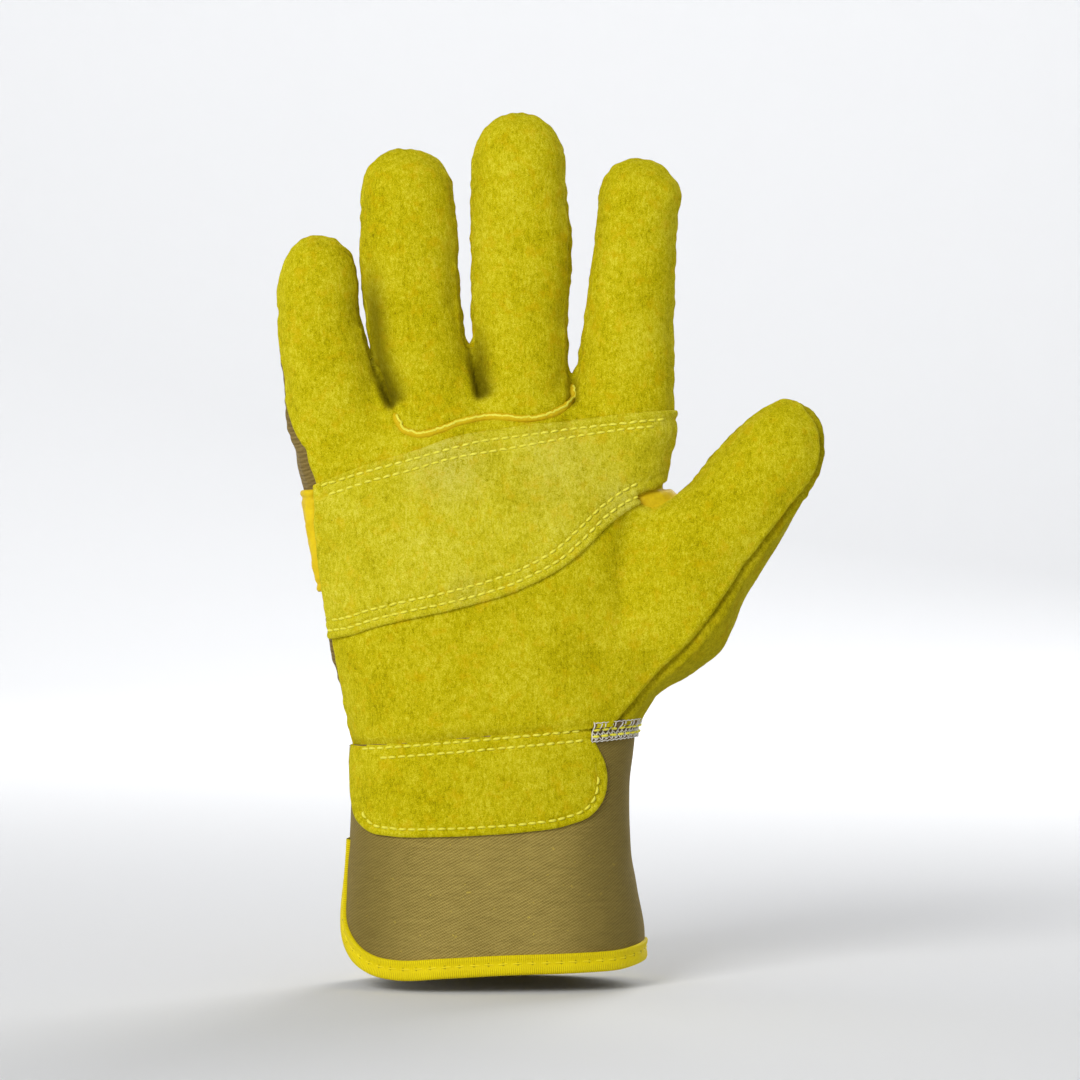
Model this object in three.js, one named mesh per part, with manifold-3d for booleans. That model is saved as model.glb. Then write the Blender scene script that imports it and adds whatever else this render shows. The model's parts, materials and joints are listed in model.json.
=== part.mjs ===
// A right-hand rigger's work glove, standing as it is worn: fingers up, palm towards -Y, thumb towards +X.
// Millimetres, +Z up. The origin is the centre of the cuff's mouth, on the plane of its hem.
// Every panel is a real sheet of leather or cloth, cut from the skin of a few tapering tubes:
// the cuff, the palm, four fingers and the thumb.
import * as THREE from "three";
import { mergeVertices } from "three/addons/utils/BufferGeometryUtils.js";
import Module from "manifold-3d";

const wasm = await Module();
wasm.setup();

// Sheet thicknesses.
const LEATHER = 1.3;
const TWILL = 0.9;
const FLEECE = 1.0;
const SEAM_GAP = 0.35; // between two panels that are sewn edge to edge
const LIFT = 0.35; // between a sheet and one sewn on top of it

// Heights up the glove.
const HEM_HEIGHT = 5.6;
const WRIST_HEIGHT = 74;
const SLIT_TOP = 44;
const STRAP_LOW = 120.5;
const STRAP_HIGH = 151.5;

// Joints: how deep under the palm-side leather each crease turns, and how far it folds.
const CREASE_DEPTH = 4.2;
const THUMB_CREASE_DEPTH = 8;
const CREASE_GAP = 0.45;
const WRIST_GAP = 1;
const WRIST_FOLD = 20;
const WRIST_BACK = 15;
const KNUCKLE_FOLD = 60;
const KNUCKLE_BACK = 10;
const MIDDLE_FOLD = 75;
const THUMB_FOLD = 35;
const THUMB_BACK_SWING = 10;
const THUMB_TIP_FOLD = 55;

const DEG = Math.PI / 180;
const DEPTH_AXIS = new THREE.Vector3(0, 1, 0);

// A tube's stations: x, z, half width, half depth, y of its centre and, where it isn't square to the
// centre line, the angle of its width above +X.
const CUFF_STATIONS = [
  [-0.7, 0, 46.2, 29.5, 0],
  [-0.8, 19, 46.9, 29, 0],
  [-1.4, 42, 43.9, 28, 0],
  [-1.5, 56, 42.8, 27, 0],
  [-0.6, 75, 44, 26.6, 0],
];
const PALM_STATIONS = [
  [0, 70, 42.8, 24, 0],
  [0, 79, 44.4, 25, 0],
  [-0.5, 90, 46.6, 24.5, 0],
  [-1.2, 102, 48.8, 24.2, 0],
  [-1.6, 116, 50.4, 23.6, 0],
  [-2.7, 130, 52.6, 22.2, 0],
  [-3.8, 145, 54.7, 20.4, 0],
  [-4, 158, 56, 18.4, 0],
  [-4.2, 167, 57.8, 16.8, 0],
  [-4.2, 176, 59.4, 15.4, 0],
  [-4.2, 190, 60, 14.2, 0],
];
const FINGERS = {
  little: {
    stations: [
      [-46.6, 170, 13.4, 13, 0],
      [-49.4, 181, 13.4, 12.7, 0],
      [-52.2, 192, 13.2, 12.3, 0],
      [-54, 203, 13.1, 12, 0],
      [-54.7, 215, 12.6, 11.4, 0],
    ],
    end: [-53.6, 229.8],
    base: 13,
    crease: 40,
    outer: "left",
  },
  ring: {
    stations: [
      [-19, 172, 13.6, 13.2, 0],
      [-20.9, 184, 14.2, 12.9, 0],
      [-24.2, 202, 14.5, 12.5, 0],
      [-26.4, 222, 14.7, 12.2, 0],
      [-27.1, 242, 14, 11.6, 0],
    ],
    end: [-26.8, 256.3],
    base: 13,
    crease: 54,
  },
  middle: {
    stations: [
      [8.8, 174, 12.6, 13.2, 0],
      [8, 186, 13.2, 12.9, 0],
      [7.4, 202, 14.3, 12.6, 0],
      [8.2, 226, 15, 12.3, 0],
      [7.4, 253, 14.2, 11.6, 0],
    ],
    end: [6, 267.6],
    base: 12,
    crease: 59,
  },
  index: {
    stations: [
      [40, 174, 15.2, 13.2, 0],
      [40.5, 188, 15, 12.9, 0],
      [41.6, 204, 13.9, 12.5, 0],
      [42.6, 222, 13.2, 12.1, 0],
      [44.4, 240, 12.9, 11.6, 0],
    ],
    end: [44.6, 253.2],
    base: 12,
    crease: 51,
    outer: "right",
  },
};
const THUMB_STATIONS = [
  [40, 116, 26, 19.5, 0, 96],
  [54.8, 121, 27.2, 19, -1, 101],
  [63.6, 129.2, 23.6, 17.2, -1.5, 110],
  [69.6, 137.6, 18.9, 15.6, -2, 119],
  [76.2, 146.7, 16.4, 14.4, -2, 132],
  [82.5, 156, 15.2, 13.5, -2, 138],
  [89, 164, 14.1, 12.6, -2, 141],
];
const THUMB_END = [98, 175.4];
const THUMB_ROOT = 14.5; // along the thumb's centre line, where it leaves the palm
const THUMB_CREASE = 50;

const leather = (name) => material(name, 0xb5a514, 0.95);
const twill = (name) => material(name, 0x84713a, 0.9);
const yellowTape = (name) => material(name, 0xe6da10, 0.6);
const strapLeather = (name) => material(name, 0xdcb818, 0.55);
const lining = (name) => material(name, 0xd9d2bd, 1);
const elastic = (name) => material(name, 0xe8e6de, 0.8);
const overlock = (name) => material(name, 0x9a8c68, 0.85);

function material(name, color, roughness) {
  return new THREE.MeshStandardMaterial({ name, color, roughness, metalness: 0 });
}

// A tube that runs smoothly through its stations. Its last stretch closes on `end` if there is one.
function makeTube(stations, { end = null, power = 2.3, upright = false } = {}) {
  const points = stations.map(([x, z, , , y]) => new THREE.Vector3(x, y, z));
  if (end) points.push(new THREE.Vector3(end[0], stations.at(-1)[4], end[1]));
  const along = [0];
  for (let i = 1; i < points.length; i++) {
    const step = upright ? points[i].z - points[i - 1].z : points[i].distanceTo(points[i - 1]);
    along.push(along[i - 1] + step);
  }
  const length = along.at(-1);
  const capFrom = end ? along.at(-2) : Infinity;

  function locate(s) {
    let i = 0;
    while (i < along.length - 2 && s > along[i + 1]) i++;
    return [i, THREE.MathUtils.clamp((s - along[i]) / (along[i + 1] - along[i]), 0, 1)];
  }
  function spline(values, i, u) {
    const at = (k) => values[THREE.MathUtils.clamp(k, 0, values.length - 1)];
    const [p0, p1, p2, p3] = [at(i - 1), at(i), at(i + 1), at(i + 2)];
    const bend = (2 * p0 - 5 * p1 + 4 * p2 - p3) * u + (3 * p1 - p0 - 3 * p2 + p3) * u * u;
    return p1 + 0.5 * u * (p2 - p0 + bend);
  }
  function centre(s) {
    const [i, u] = locate(s);
    return new THREE.Vector3(
      spline(points.map((p) => p.x), i, u),
      spline(points.map((p) => p.y), i, u),
      upright ? points[0].z + s : spline(points.map((p) => p.z), i, u),
    );
  }
  function sizes(s) {
    const [i, u] = locate(s);
    const column = (k) => stations.map((row) => row[k]);
    const size = { a: spline(column(2), i, u), b: spline(column(3), i, u) };
    if (s > capFrom) {
      const into = Math.min(1, (s - capFrom) / (length - capFrom));
      const round = Math.max(0.06, (1 - into ** 2.3) ** (1 / 2.3));
      size.a *= round;
      size.b *= round;
    }
    return size;
  }
  // The direction of the tube's width, square to its centre line unless the stations give its angle.
  function across(s) {
    if (upright) return new THREE.Vector3(1, 0, 0);
    if (stations[0].length > 5) {
      const [i, u] = locate(s);
      const angle = spline(stations.map((row) => row[5]), i, u) * DEG;
      return new THREE.Vector3(-Math.cos(angle), 0, -Math.sin(angle));
    }
    const step = centre(Math.min(length, s + 0.5)).sub(centre(Math.max(0, s - 0.5)));
    return new THREE.Vector3(step.z, 0, -step.x).normalize();
  }
  // A point of the skin: theta 0 is the +width side, 90 the back of the hand and -90 the palm side.
  function skin(s, theta, inset = 0) {
    const { a, b } = sizes(s);
    const round = (value) => Math.sign(value) * Math.abs(value) ** (2 / power);
    return centre(s)
      .addScaledVector(across(s), Math.max(0.2, a - inset) * round(Math.cos(theta * DEG)))
      .addScaledVector(DEPTH_AXIS, Math.max(0.2, b - inset) * round(Math.sin(theta * DEG)));
  }
  return { length, centre, across, sizes, skin, capFrom };
}

// A closed solid between two grids of points with the same rows and columns.
function solidBetween(outer, inner) {
  const rows = outer.length;
  const columns = outer[0].length;
  const position = [...outer.flat(), ...inner.flat()].flatMap((p) => [p.x, p.y, p.z]);
  const at = (layer, i, j) => layer * rows * columns + i * columns + j;
  const index = [];
  const quad = (p, q, r, s) => index.push(p, q, r, p, r, s);
  for (let i = 0; i < rows - 1; i++)
    for (let j = 0; j < columns - 1; j++) {
      quad(at(0, i, j), at(0, i, j + 1), at(0, i + 1, j + 1), at(0, i + 1, j));
      quad(at(1, i, j), at(1, i + 1, j), at(1, i + 1, j + 1), at(1, i, j + 1));
    }
  for (let i = 0; i < rows - 1; i++) {
    quad(at(0, i, 0), at(0, i + 1, 0), at(1, i + 1, 0), at(1, i, 0));
    const last = columns - 1;
    quad(at(0, i + 1, last), at(0, i, last), at(1, i, last), at(1, i + 1, last));
  }
  for (let j = 0; j < columns - 1; j++) {
    quad(at(0, 0, j + 1), at(0, 0, j), at(1, 0, j), at(1, 0, j + 1));
    quad(at(0, rows - 1, j), at(0, rows - 1, j + 1), at(1, rows - 1, j + 1), at(1, rows - 1, j));
  }
  return new THREE.BufferGeometry()
    .setAttribute("position", new THREE.Float32BufferAttribute(position, 3))
    .setIndex(outwards(position, index));
}

// The same triangles, turned round if they enclose a negative volume.
function outwards(position, index) {
  const corner = (k) => new THREE.Vector3().fromArray(position, 3 * k);
  let volume = 0;
  for (let i = 0; i < index.length; i += 3)
    volume += corner(index[i]).dot(corner(index[i + 1]).cross(corner(index[i + 2])));
  if (volume < 0)
    for (let i = 0; i < index.length; i += 3) [index[i + 1], index[i + 2]] = [index[i + 2], index[i + 1]];
  return index;
}

// A sheet on a tube's skin, from theta `left` to theta `right` and from s `low` to s `high`. Each of
// these is a number or a function: the thetas of s, and the ends of the skin point's x and y.
function sheet(tube, { low, high, left, right, lift = 0, thick = LEATHER, rows = 8, columns = 8 }) {
  const value = (given, ...of) => (typeof given === "function" ? given(...of) : given);
  const grids = [-lift, thick - lift].map((inset) => {
    const grid = [];
    for (let i = 0; i <= rows; i++) {
      const row = [];
      for (let j = 0; j <= columns; j++) {
        const u = i / rows;
        let s = typeof low === "number" ? low : (value(low, 0, 0) + value(high, 0, 0)) / 2;
        let theta = 0;
        for (let pass = 0; pass < 4; pass++) {
          theta = THREE.MathUtils.lerp(value(left, s), value(right, s), j / columns);
          const start = tube.skin(value(low, 0, 0), theta);
          const stop = tube.skin(value(high, 0, 0), theta);
          s = THREE.MathUtils.lerp(value(low, start.x, start.y), value(high, stop.x, stop.y), u);
        }
        row.push(tube.skin(s, theta, inset));
      }
      grid.push(row);
    }
    return grid;
  });
  return solidBetween(grids[0], grids[1]);
}

// A solid turned about a crease's turning line.
function turned(solid, { at, across, turnY }, degrees) {
  const turn = new THREE.Matrix4().makeRotationAxis(across, degrees * DEG);
  const out = new THREE.Matrix4().makeTranslation(at.x, turnY, at.z);
  return solid.transform(out.clone().multiply(turn).multiply(out.invert()).elements);
}

// The end of a panel beside a crease at `at`: it slopes away from the turning line on both sides, so
// that the two halves can fold. `side` is 1 above the crease and -1 below it.
function creaseEnd(at, turnY, foldDeg, backDeg, side) {
  return (x, y) => {
    const palmSide = Math.max(0, turnY - y) * Math.tan((foldDeg / 2) * DEG);
    const backSide = Math.max(0, y - turnY) * Math.tan((backDeg / 2) * DEG);
    return at + side * (CREASE_GAP / 2 + palmSide + backSide);
  };
}

// The wrist's fold runs through the middle of the tube, so both rims slope away from it.
function wristEnd(side) {
  return (x, y) => {
    const fold = y < 0 ? WRIST_FOLD : WRIST_BACK;
    return WRIST_HEIGHT + side * (WRIST_GAP / 2 + Math.abs(y) * Math.tan((fold / 2) * DEG));
  };
}

// What a crease leaves of a solid that lies across it: the half above it (`side` 1) or below (-1).
function trimAtCrease(solid, { at, across, turnY }, foldDeg, backDeg, side) {
  const along = new THREE.Vector3(-across.z, 0, across.x);
  let kept = solid;
  for (const slope of [Math.tan((foldDeg / 2) * DEG), -Math.tan((backDeg / 2) * DEG)]) {
    const normal = new THREE.Vector3(side * along.x, slope, side * along.z);
    const distance = side * along.dot(at) + CREASE_GAP / 2 + slope * turnY;
    kept = kept.trimByPlane(normal.toArray(), distance / normal.length());
  }
  return kept;
}

function toSolid(geometry) {
  const bare = geometry.index ? geometry.clone() : mergeVertices(geometry.clone());
  bare.deleteAttribute("normal");
  bare.deleteAttribute("uv");
  const merged = mergeVertices(bare, 1e-4);
  return new wasm.Manifold(
    new wasm.Mesh({
      numProp: 3,
      vertProperties: new Float32Array(merged.attributes.position.array),
      triVerts: new Uint32Array(merged.index.array),
    }),
  );
}

function toGeometry(solid) {
  const mesh = solid.getMesh();
  return new THREE.BufferGeometry()
    .setAttribute("position", new THREE.BufferAttribute(new Float32Array(mesh.vertProperties), 3))
    .setIndex(new THREE.BufferAttribute(new Uint32Array(mesh.triVerts), 1));
}

// The largest connected body of a solid, without the crumbs that a cut can leave.
function largest(solid) {
  return solid.decompose().sort((p, q) => q.volume() - p.volume())[0];
}

// A prism along Y over an outline in X and Z, on the palm side (-Y) or the back (+Y).
function prism(outline, side = -1, depth = 60) {
  const shape = new THREE.Shape(outline.map(([x, z]) => new THREE.Vector2(x, z)));
  const geometry = new THREE.ExtrudeGeometry(shape, { depth, bevelEnabled: false });
  geometry.rotateX(Math.PI / 2);
  if (side > 0) geometry.translate(0, depth, 0);
  return toSolid(geometry);
}

function rounded(points, closed = true, steps = 48) {
  const curve = new THREE.CatmullRomCurve3(
    points.map(([x, z]) => new THREE.Vector3(x, 0, z)),
    closed,
    "centripetal",
  );
  return curve.getPoints(steps).slice(0, closed ? -1 : undefined).map((p) => [p.x, p.z]);
}

const glove = new THREE.Group();
function add(name, geometry, surface) {
  const mesh = new THREE.Mesh(geometry, surface);
  mesh.name = name;
  glove.add(mesh);
}

const cuff = makeTube(CUFF_STATIONS, { upright: true, power: 2.1 });
const palm = makeTube(PALM_STATIONS, { upright: true, power: 2.5 });
const thumb = makeTube(THUMB_STATIONS, { end: THUMB_END, power: 2.2 });
const palmAt = (z) => z - PALM_STATIONS[0][1];
const thumbRoot = creaseOf(thumb, THUMB_ROOT, THUMB_CREASE_DEPTH);
const thumbMiddle = creaseOf(thumb, THUMB_CREASE, CREASE_DEPTH);
for (const finger of Object.values(FINGERS)) {
  finger.tube = makeTube(finger.stations, { end: finger.end, power: 2.35 });
  finger.root = finger.tube.centre(finger.base);
  const lean = finger.tube.across(finger.base);
  finger.slope = -lean.z / lean.x;
  finger.turnY = CREASE_DEPTH - finger.tube.sizes(finger.base).b;
}

// Where a tube folds: its centre there, the direction of its width and how deep the turning line is.
function creaseOf(tube, s, depth) {
  return { at: tube.centre(s), across: tube.across(s), turnY: tube.centre(s).y - tube.sizes(s).b + depth };
}

// The palm's top edge under the nearest finger's base crease, as a height.
function palmTop(x, y) {
  const byDistance = Object.values(FINGERS).sort((p, q) => Math.abs(p.root.x - x) - Math.abs(q.root.x - x));
  const { root, slope, turnY } = byDistance[0];
  const edge = root.z - (x - root.x) * slope;
  return creaseEnd(edge, turnY, KNUCKLE_FOLD, KNUCKLE_BACK, -1)(x, y);
}

addCuff();
addPalm();
for (const [name, finger] of Object.entries(FINGERS)) addFinger(name, finger);
addThumb();

// The cuff is one strip of stiff twill wrapped round the wrist, open down the little-finger side.
function addCuff() {
  const slit = { left: -178.5, right: 177.5 };
  const closedRows = { low: HEM_HEIGHT + SEAM_GAP, high: wristEnd(-1), rows: 7, columns: 36 };
  add("cuff_band", sheet(cuff, { ...slit, ...closedRows, thick: 1.2 }), twill("cuff_twill"));
  const hem = { low: 0, high: HEM_HEIGHT, lift: 0.7, thick: 2.6, rows: 2, columns: 36 };
  add("hem_binding", sheet(cuff, { ...slit, ...hem }), yellowTape("binding"));
  const edge = { low: HEM_HEIGHT + SEAM_GAP, high: SLIT_TOP, thick: 0.6, rows: 5, columns: 2 };
  add(
    "slit_binding_front",
    sheet(cuff, { ...edge, left: -178.4, right: -172, lift: 0.95 }),
    yellowTape("slit_binding"),
  );
  add(
    "slit_binding_back",
    sheet(cuff, { ...edge, left: 170, right: 177.4, lift: 0.95 }),
    yellowTape("slit_binding"),
  );
  const pulseOutline = [
    [-43, 66.5],
    [-43.6, 57],
    [-41, 49],
    [-32, 45.6],
    [-10, 45.2],
    [10, 46.4],
    [24, 49.5],
    [32.6, 57],
    [33.6, 63],
    [31.5, 72],
    [0, 80],
    [-42, 74],
  ];
  const patch = rounded(pulseOutline, true, 30);
  const outside = toSolid(
    sheet(cuff, {
      low: 40,
      high: (x, y) => wristEnd(-1)(x, y) - 0.5,
      left: -176,
      right: -4,
      lift: LIFT + LEATHER,
      rows: 6,
      columns: 20,
    }),
  );
  add("pulse_patch", toGeometry(largest(outside.intersect(prism(patch)))), leather("pulse_patch"));
  // The overlocked seam allowance shows on the outside, from beside the pulse patch round the back.
  const seam = {
    low: (x, y) => wristEnd(-1)(x, y) - 6.5,
    high: (x, y) => wristEnd(-1)(x, y) - 0.5,
    left: -36,
    right: 172,
    rows: 2,
    columns: 20,
  };
  const seamBand = sheet(cuff, { ...seam, lift: LIFT + 0.8, thick: 0.8 });
  add("cuff_seam_band", seamBand, overlock("overlocked_edge"));
}

// The hand: leather palm, twill back and what is sewn on them.
function addPalm() {
  const frontLeft = -164;
  const frontRight = 6;
  const seamTheta = (SEAM_GAP / 50 / DEG) * 2;
  const top = (x, y) => palmAt(palmTop(x, y));
  const bottom = (x, y) => palmAt(wristEnd(1)(x, y));
  const front = { low: bottom, high: top, left: frontLeft, right: frontRight };
  const back = {
    low: bottom,
    high: top,
    left: frontRight + seamTheta,
    right: 360 + frontLeft - seamTheta,
  };
  const fine = { rows: 10, columns: 20 };
  const rootHigh = THUMB_ROOT + 9;
  const rootFront = { low: 2, high: rootHigh, left: -168, right: -30, rows: 5, columns: 10 };
  const rootBack = { low: 2, high: rootHigh, left: -30 + 2, right: 192 - 2, rows: 5, columns: 14 };
  const belowRoot = (solid) => trimAtCrease(solid, thumbRoot, THUMB_FOLD, THUMB_BACK_SWING, -1);
  const rootVolume = (inset) => tubeVolume(thumb, 2, THUMB_ROOT + 6, inset);
  const palmVolume = (inset) => tubeVolume(palm, palmAt(WRIST_HEIGHT) - 2, palmAt(176), inset);

  // The welted seam under the middle and ring fingers.
  const welt = [
    [-32.5, 176],
    [-29.5, 170.6],
    [-24, 168],
    [-16, 169.2],
    [-7, 172.4],
    [2, 173.6],
    [11, 174],
    [19, 176.5],
    [23.6, 180.6],
  ];
  const inset = prism([...rounded(welt, false, 20), [24.6, 200], [-33, 200]]);
  const cutLine = prism([...rounded(offset(welt, SEAM_GAP), false, 20), [25, 200], [-33.4, 200]]);
  const frontSolid = toSolid(sheet(palm, { ...front, ...fine }));
  const thumbFront = belowRoot(toSolid(sheet(thumb, rootFront))).subtract(palmVolume(LEATHER));
  const palmLeather = frontSolid.subtract(rootVolume(LEATHER)).add(thumbFront).subtract(cutLine);
  add("palm_leather", toGeometry(largest(palmLeather)), leather("palm_leather"));
  const fingerRoot = toGeometry(largest(frontSolid.intersect(inset)));
  add("middle_ring_front_root", fingerRoot, leather("finger_leather"));
  const thumbBack = belowRoot(toSolid(sheet(thumb, rootBack))).subtract(palmVolume(-SEAM_GAP));
  const clear = rootVolume(-SEAM_GAP);
  const backSolid = toSolid(sheet(palm, { ...back, ...fine, thick: TWILL }));
  add("back_panel", toGeometry(largest(backSolid.subtract(clear))), twill("back_twill"));
  add(
    "thumb_back_root",
    toGeometry(largest(thumbBack.subtract(palmLeather).subtract(backSolid))),
    leather("thumb_leather"),
  );

  // The second layer across the palm, its edge swooping up to the thumb.
  const patch = [
    ...rounded(
      [
        [-57.6, 152.4],
        [-46, 158.6],
        [-23, 166],
        [0, 169.4],
        [26, 172],
        [54.6, 175.4],
      ],
      false,
      18,
    ),
    ...rounded(
      [
        [52.5, 160.4],
        [43, 155],
        [33, 140.5],
        [24, 130],
        [12, 123],
        [-8, 117],
        [-30, 110.6],
        [-49.6, 106.4],
      ],
      false,
      24,
    ),
  ];
  const over = toSolid(sheet(palm, { ...front, ...fine, left: -158, right: -10, lift: LIFT + LEATHER }));
  const besideGusset = over.subtract(toSolid(sheet(palm, gussetSpan(SEAM_GAP, 4, 8))));
  const belowCrease = besideGusset.subtract(tubeVolume(thumb, 2, THUMB_ROOT + 8, -2));
  add("palm_patch", toGeometry(largest(belowCrease.intersect(prism(patch)))), leather("palm_patch"));

  const strap = { low: palmAt(STRAP_LOW), high: palmAt(STRAP_HIGH), left: 22, right: 190 };
  const strapSolid = toSolid(sheet(palm, { ...strap, lift: LIFT + 1.1, thick: 1.1, rows: 3, columns: 20 }));
  const strapClear = strapSolid.subtract(tubeVolume(thumb, 2, THUMB_ROOT + 8, -2));
  add("knuckle_strap", toGeometry(largest(strapClear)), strapLeather("knuckle_strap"));

  add("finger_welt", weltRope(welt), strapLeather("welt_piping"));
  const gusset = sheet(palm, gussetSpan(0, LIFT + 1.1, 1.1));
  add("thumb_gusset", gusset, strapLeather("gusset"));
  addInsidePieces();
  addWebs();
}

// The small smooth piece that fills the crotch between the thumb and the palm.
function gussetSpan(margin, lift, thick) {
  const spread = { low: palmAt(149.5 - margin), high: palmAt(157 + margin), left: -27 - margin, right: 14 };
  return { ...spread, lift, thick, rows: 2, columns: 8 };
}

// The line moved sideways by a distance, to its right as it runs.
function offset(line, distance) {
  return line.map(([x, z], i) => {
    const [x0, z0] = line[Math.max(0, i - 1)];
    const [x1, z1] = line[Math.min(line.length - 1, i + 1)];
    const run = Math.hypot(x1 - x0, z1 - z0);
    return [x + ((z1 - z0) / run) * distance, z - ((x1 - x0) / run) * distance];
  });
}

// The space inside a stretch of a tube, its skin moved inwards by `inset`.
function tubeVolume(tube, from, to, inset, rows = 14, columns = 36) {
  const position = [];
  for (let i = 0; i <= rows; i++)
    for (let j = 0; j < columns; j++) {
      const p = tube.skin(from + ((to - from) * i) / rows, (360 * j) / columns, inset);
      position.push(p.x, p.y, p.z);
    }
  const ends = [from, to].map((s) => tube.centre(s));
  for (const p of ends) position.push(p.x, p.y, p.z);
  const at = (i, j) => i * columns + (j % columns);
  const index = [];
  for (let i = 0; i < rows; i++)
    for (let j = 0; j < columns; j++) {
      index.push(at(i, j), at(i, j + 1), at(i + 1, j + 1), at(i, j), at(i + 1, j + 1), at(i + 1, j));
    }
  const poles = [(rows + 1) * columns, (rows + 1) * columns + 1];
  for (let j = 0; j < columns; j++) {
    index.push(poles[0], at(0, j + 1), at(0, j));
    index.push(poles[1], at(rows, j), at(rows, j + 1));
  }
  return toSolid(
    new THREE.BufferGeometry()
      .setAttribute("position", new THREE.Float32BufferAttribute(position, 3))
      .setIndex(outwards(position, index)),
  );
}

// A round piping, laid on the palm's skin along a line in X and Z.
function weltRope(line) {
  const radius = 1.3;
  const onSkin = line.slice(0, -1).map(([x, z]) => {
    const s = palmAt(z);
    const { a, b } = palm.sizes(s);
    const side = Math.abs(x - palm.centre(s).x) / a;
    const depth = b * (1 - side ** 2.5) ** (1 / 2.5);
    return new THREE.Vector3(x, -depth - radius - LIFT - LEATHER, z);
  });
  const curve = new THREE.CatmullRomCurve3(onSkin, false, "centripetal");
  const circle = new THREE.Shape().absarc(0, 0, radius, 0, 2 * Math.PI);
  return new THREE.ExtrudeGeometry(circle, {
    steps: 20,
    curveSegments: 4,
    bevelEnabled: false,
    extrudePath: curve,
  });
}

// What the glove holds inside: the fleece lining behind the palm and the elastic that gathers the wrist.
function addInsidePieces() {
  const inside = LEATHER + LIFT;
  const fleece = { low: palmAt(84), high: palmAt(166), left: -150, right: -48, rows: 6, columns: 12 };
  add("palm_lining", sheet(palm, { ...fleece, lift: -inside, thick: FLEECE }), lining("fleece_lining"));
  const band = { low: palmAt(84), high: palmAt(92), left: 38, right: 142, lift: -inside, thick: 1.2 };
  add("wrist_elastic", sheet(palm, { ...band, rows: 2, columns: 12 }), elastic("elastic"));
}

// The strips between the fingers cross under each crotch as a short web.
function addWebs() {
  const order = ["little", "ring", "middle", "index"];
  for (let i = 0; i < 3; i++) {
    const [near, far] = [FINGERS[order[i]], FINGERS[order[i + 1]]];
    const nearEdge = near.root.x + near.tube.sizes(near.base).a;
    const farEdge = far.root.x - far.tube.sizes(far.base).a;
    const x = (nearEdge + farEdge) / 2;
    const z = Math.min(palmTop(x - 6, 0), palmTop(x + 6, 0)) - 3.2;
    const saddle = new THREE.Shape();
    saddle.absarc(0, 0, 7, Math.PI * 0.8, Math.PI * 0.2, true);
    saddle.absarc(0, 0, 5.6, Math.PI * 0.2, Math.PI * 0.8, false);
    const web = new THREE.ExtrudeGeometry(saddle, { depth: 17, bevelEnabled: false, curveSegments: 6 });
    web.rotateX(Math.PI / 2).translate(x, 8.5, z - 6);
    add(`web_${order[i]}_${order[i + 1]}`, web, leather("fourchette_leather"));
  }
}

// A finger: a front, a back and the strips (fourchettes) between them, each in two lengths that fold
// at the base of the finger and at its middle.
function addFinger(name, { tube, base, crease, outer, turnY }) {
  const stripHalf = 32; // the strips reach this far either side of the finger's edge
  const stripEnd = tube.capFrom + (tube.length - tube.capFrom) * 0.3;
  const taperFrom = tube.capFrom - 10;
  const narrowing = (s) => {
    const into = THREE.MathUtils.clamp((s - taperFrom) / (stripEnd + 2 - taperFrom), 0, 1);
    return stripHalf * (1 - into) + 2 * into;
  };
  const gap = (s) => ((SEAM_GAP / tube.sizes(s).a) * 0.5) / DEG;
  const outerSeam = 4;
  const strip = { right: outer !== "right", left: outer !== "left" };
  const edges = {
    frontRight: (s) => (strip.right ? -narrowing(s) : outerSeam) - gap(s),
    backRight: (s) => (strip.right ? narrowing(s) : outerSeam) + gap(s),
    frontLeft: (s) => (strip.left ? -180 + narrowing(s) : -180 - outerSeam) + gap(s),
    backLeft: (s) => (strip.left ? 180 - narrowing(s) : 180 - outerSeam) - gap(s),
  };
  const creaseY = CREASE_DEPTH - tube.sizes(crease).b;
  const lengths = {
    base: {
      low: creaseEnd(base, turnY, KNUCKLE_FOLD, KNUCKLE_BACK, 1),
      high: creaseEnd(crease, creaseY, MIDDLE_FOLD, 0, -1),
      rows: 5,
    },
    tip: {
      low: creaseEnd(crease, creaseY, MIDDLE_FOLD, 0, 1),
      high: tube.length,
      rows: 7,
    },
  };
  for (const [part, span] of Object.entries(lengths)) {
    const leatherBack = part === "tip" || name === "index";
    const backSurface = leatherBack ? leather("finger_back_leather") : twill("finger_twill");
    const backThick = leatherBack ? LEATHER : TWILL;
    add(
      `${name}_front_${part}`,
      sheet(tube, { ...span, left: edges.frontLeft, right: edges.frontRight, columns: 7 }),
      leather("finger_leather"),
    );
    add(
      `${name}_back_${part}`,
      sheet(tube, { ...span, left: edges.backRight, right: edges.backLeft, columns: 7, thick: backThick }),
      backSurface,
    );
    const stripHigh = part === "tip" ? stripEnd : span.high;
    for (const side of ["left", "right"]) {
      if (!strip[side]) continue;
      const middle = side === "left" ? 180 : 0;
      const half = (s) => narrowing(s) - 2 * gap(s);
      add(
        `${name}_fourchette_${side}_${part}`,
        sheet(tube, {
          ...span,
          high: stripHigh,
          left: (s) => middle - half(s),
          right: (s) => middle + half(s),
          columns: 3,
        }),
        leather("fourchette_leather"),
      );
    }
  }
}

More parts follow.
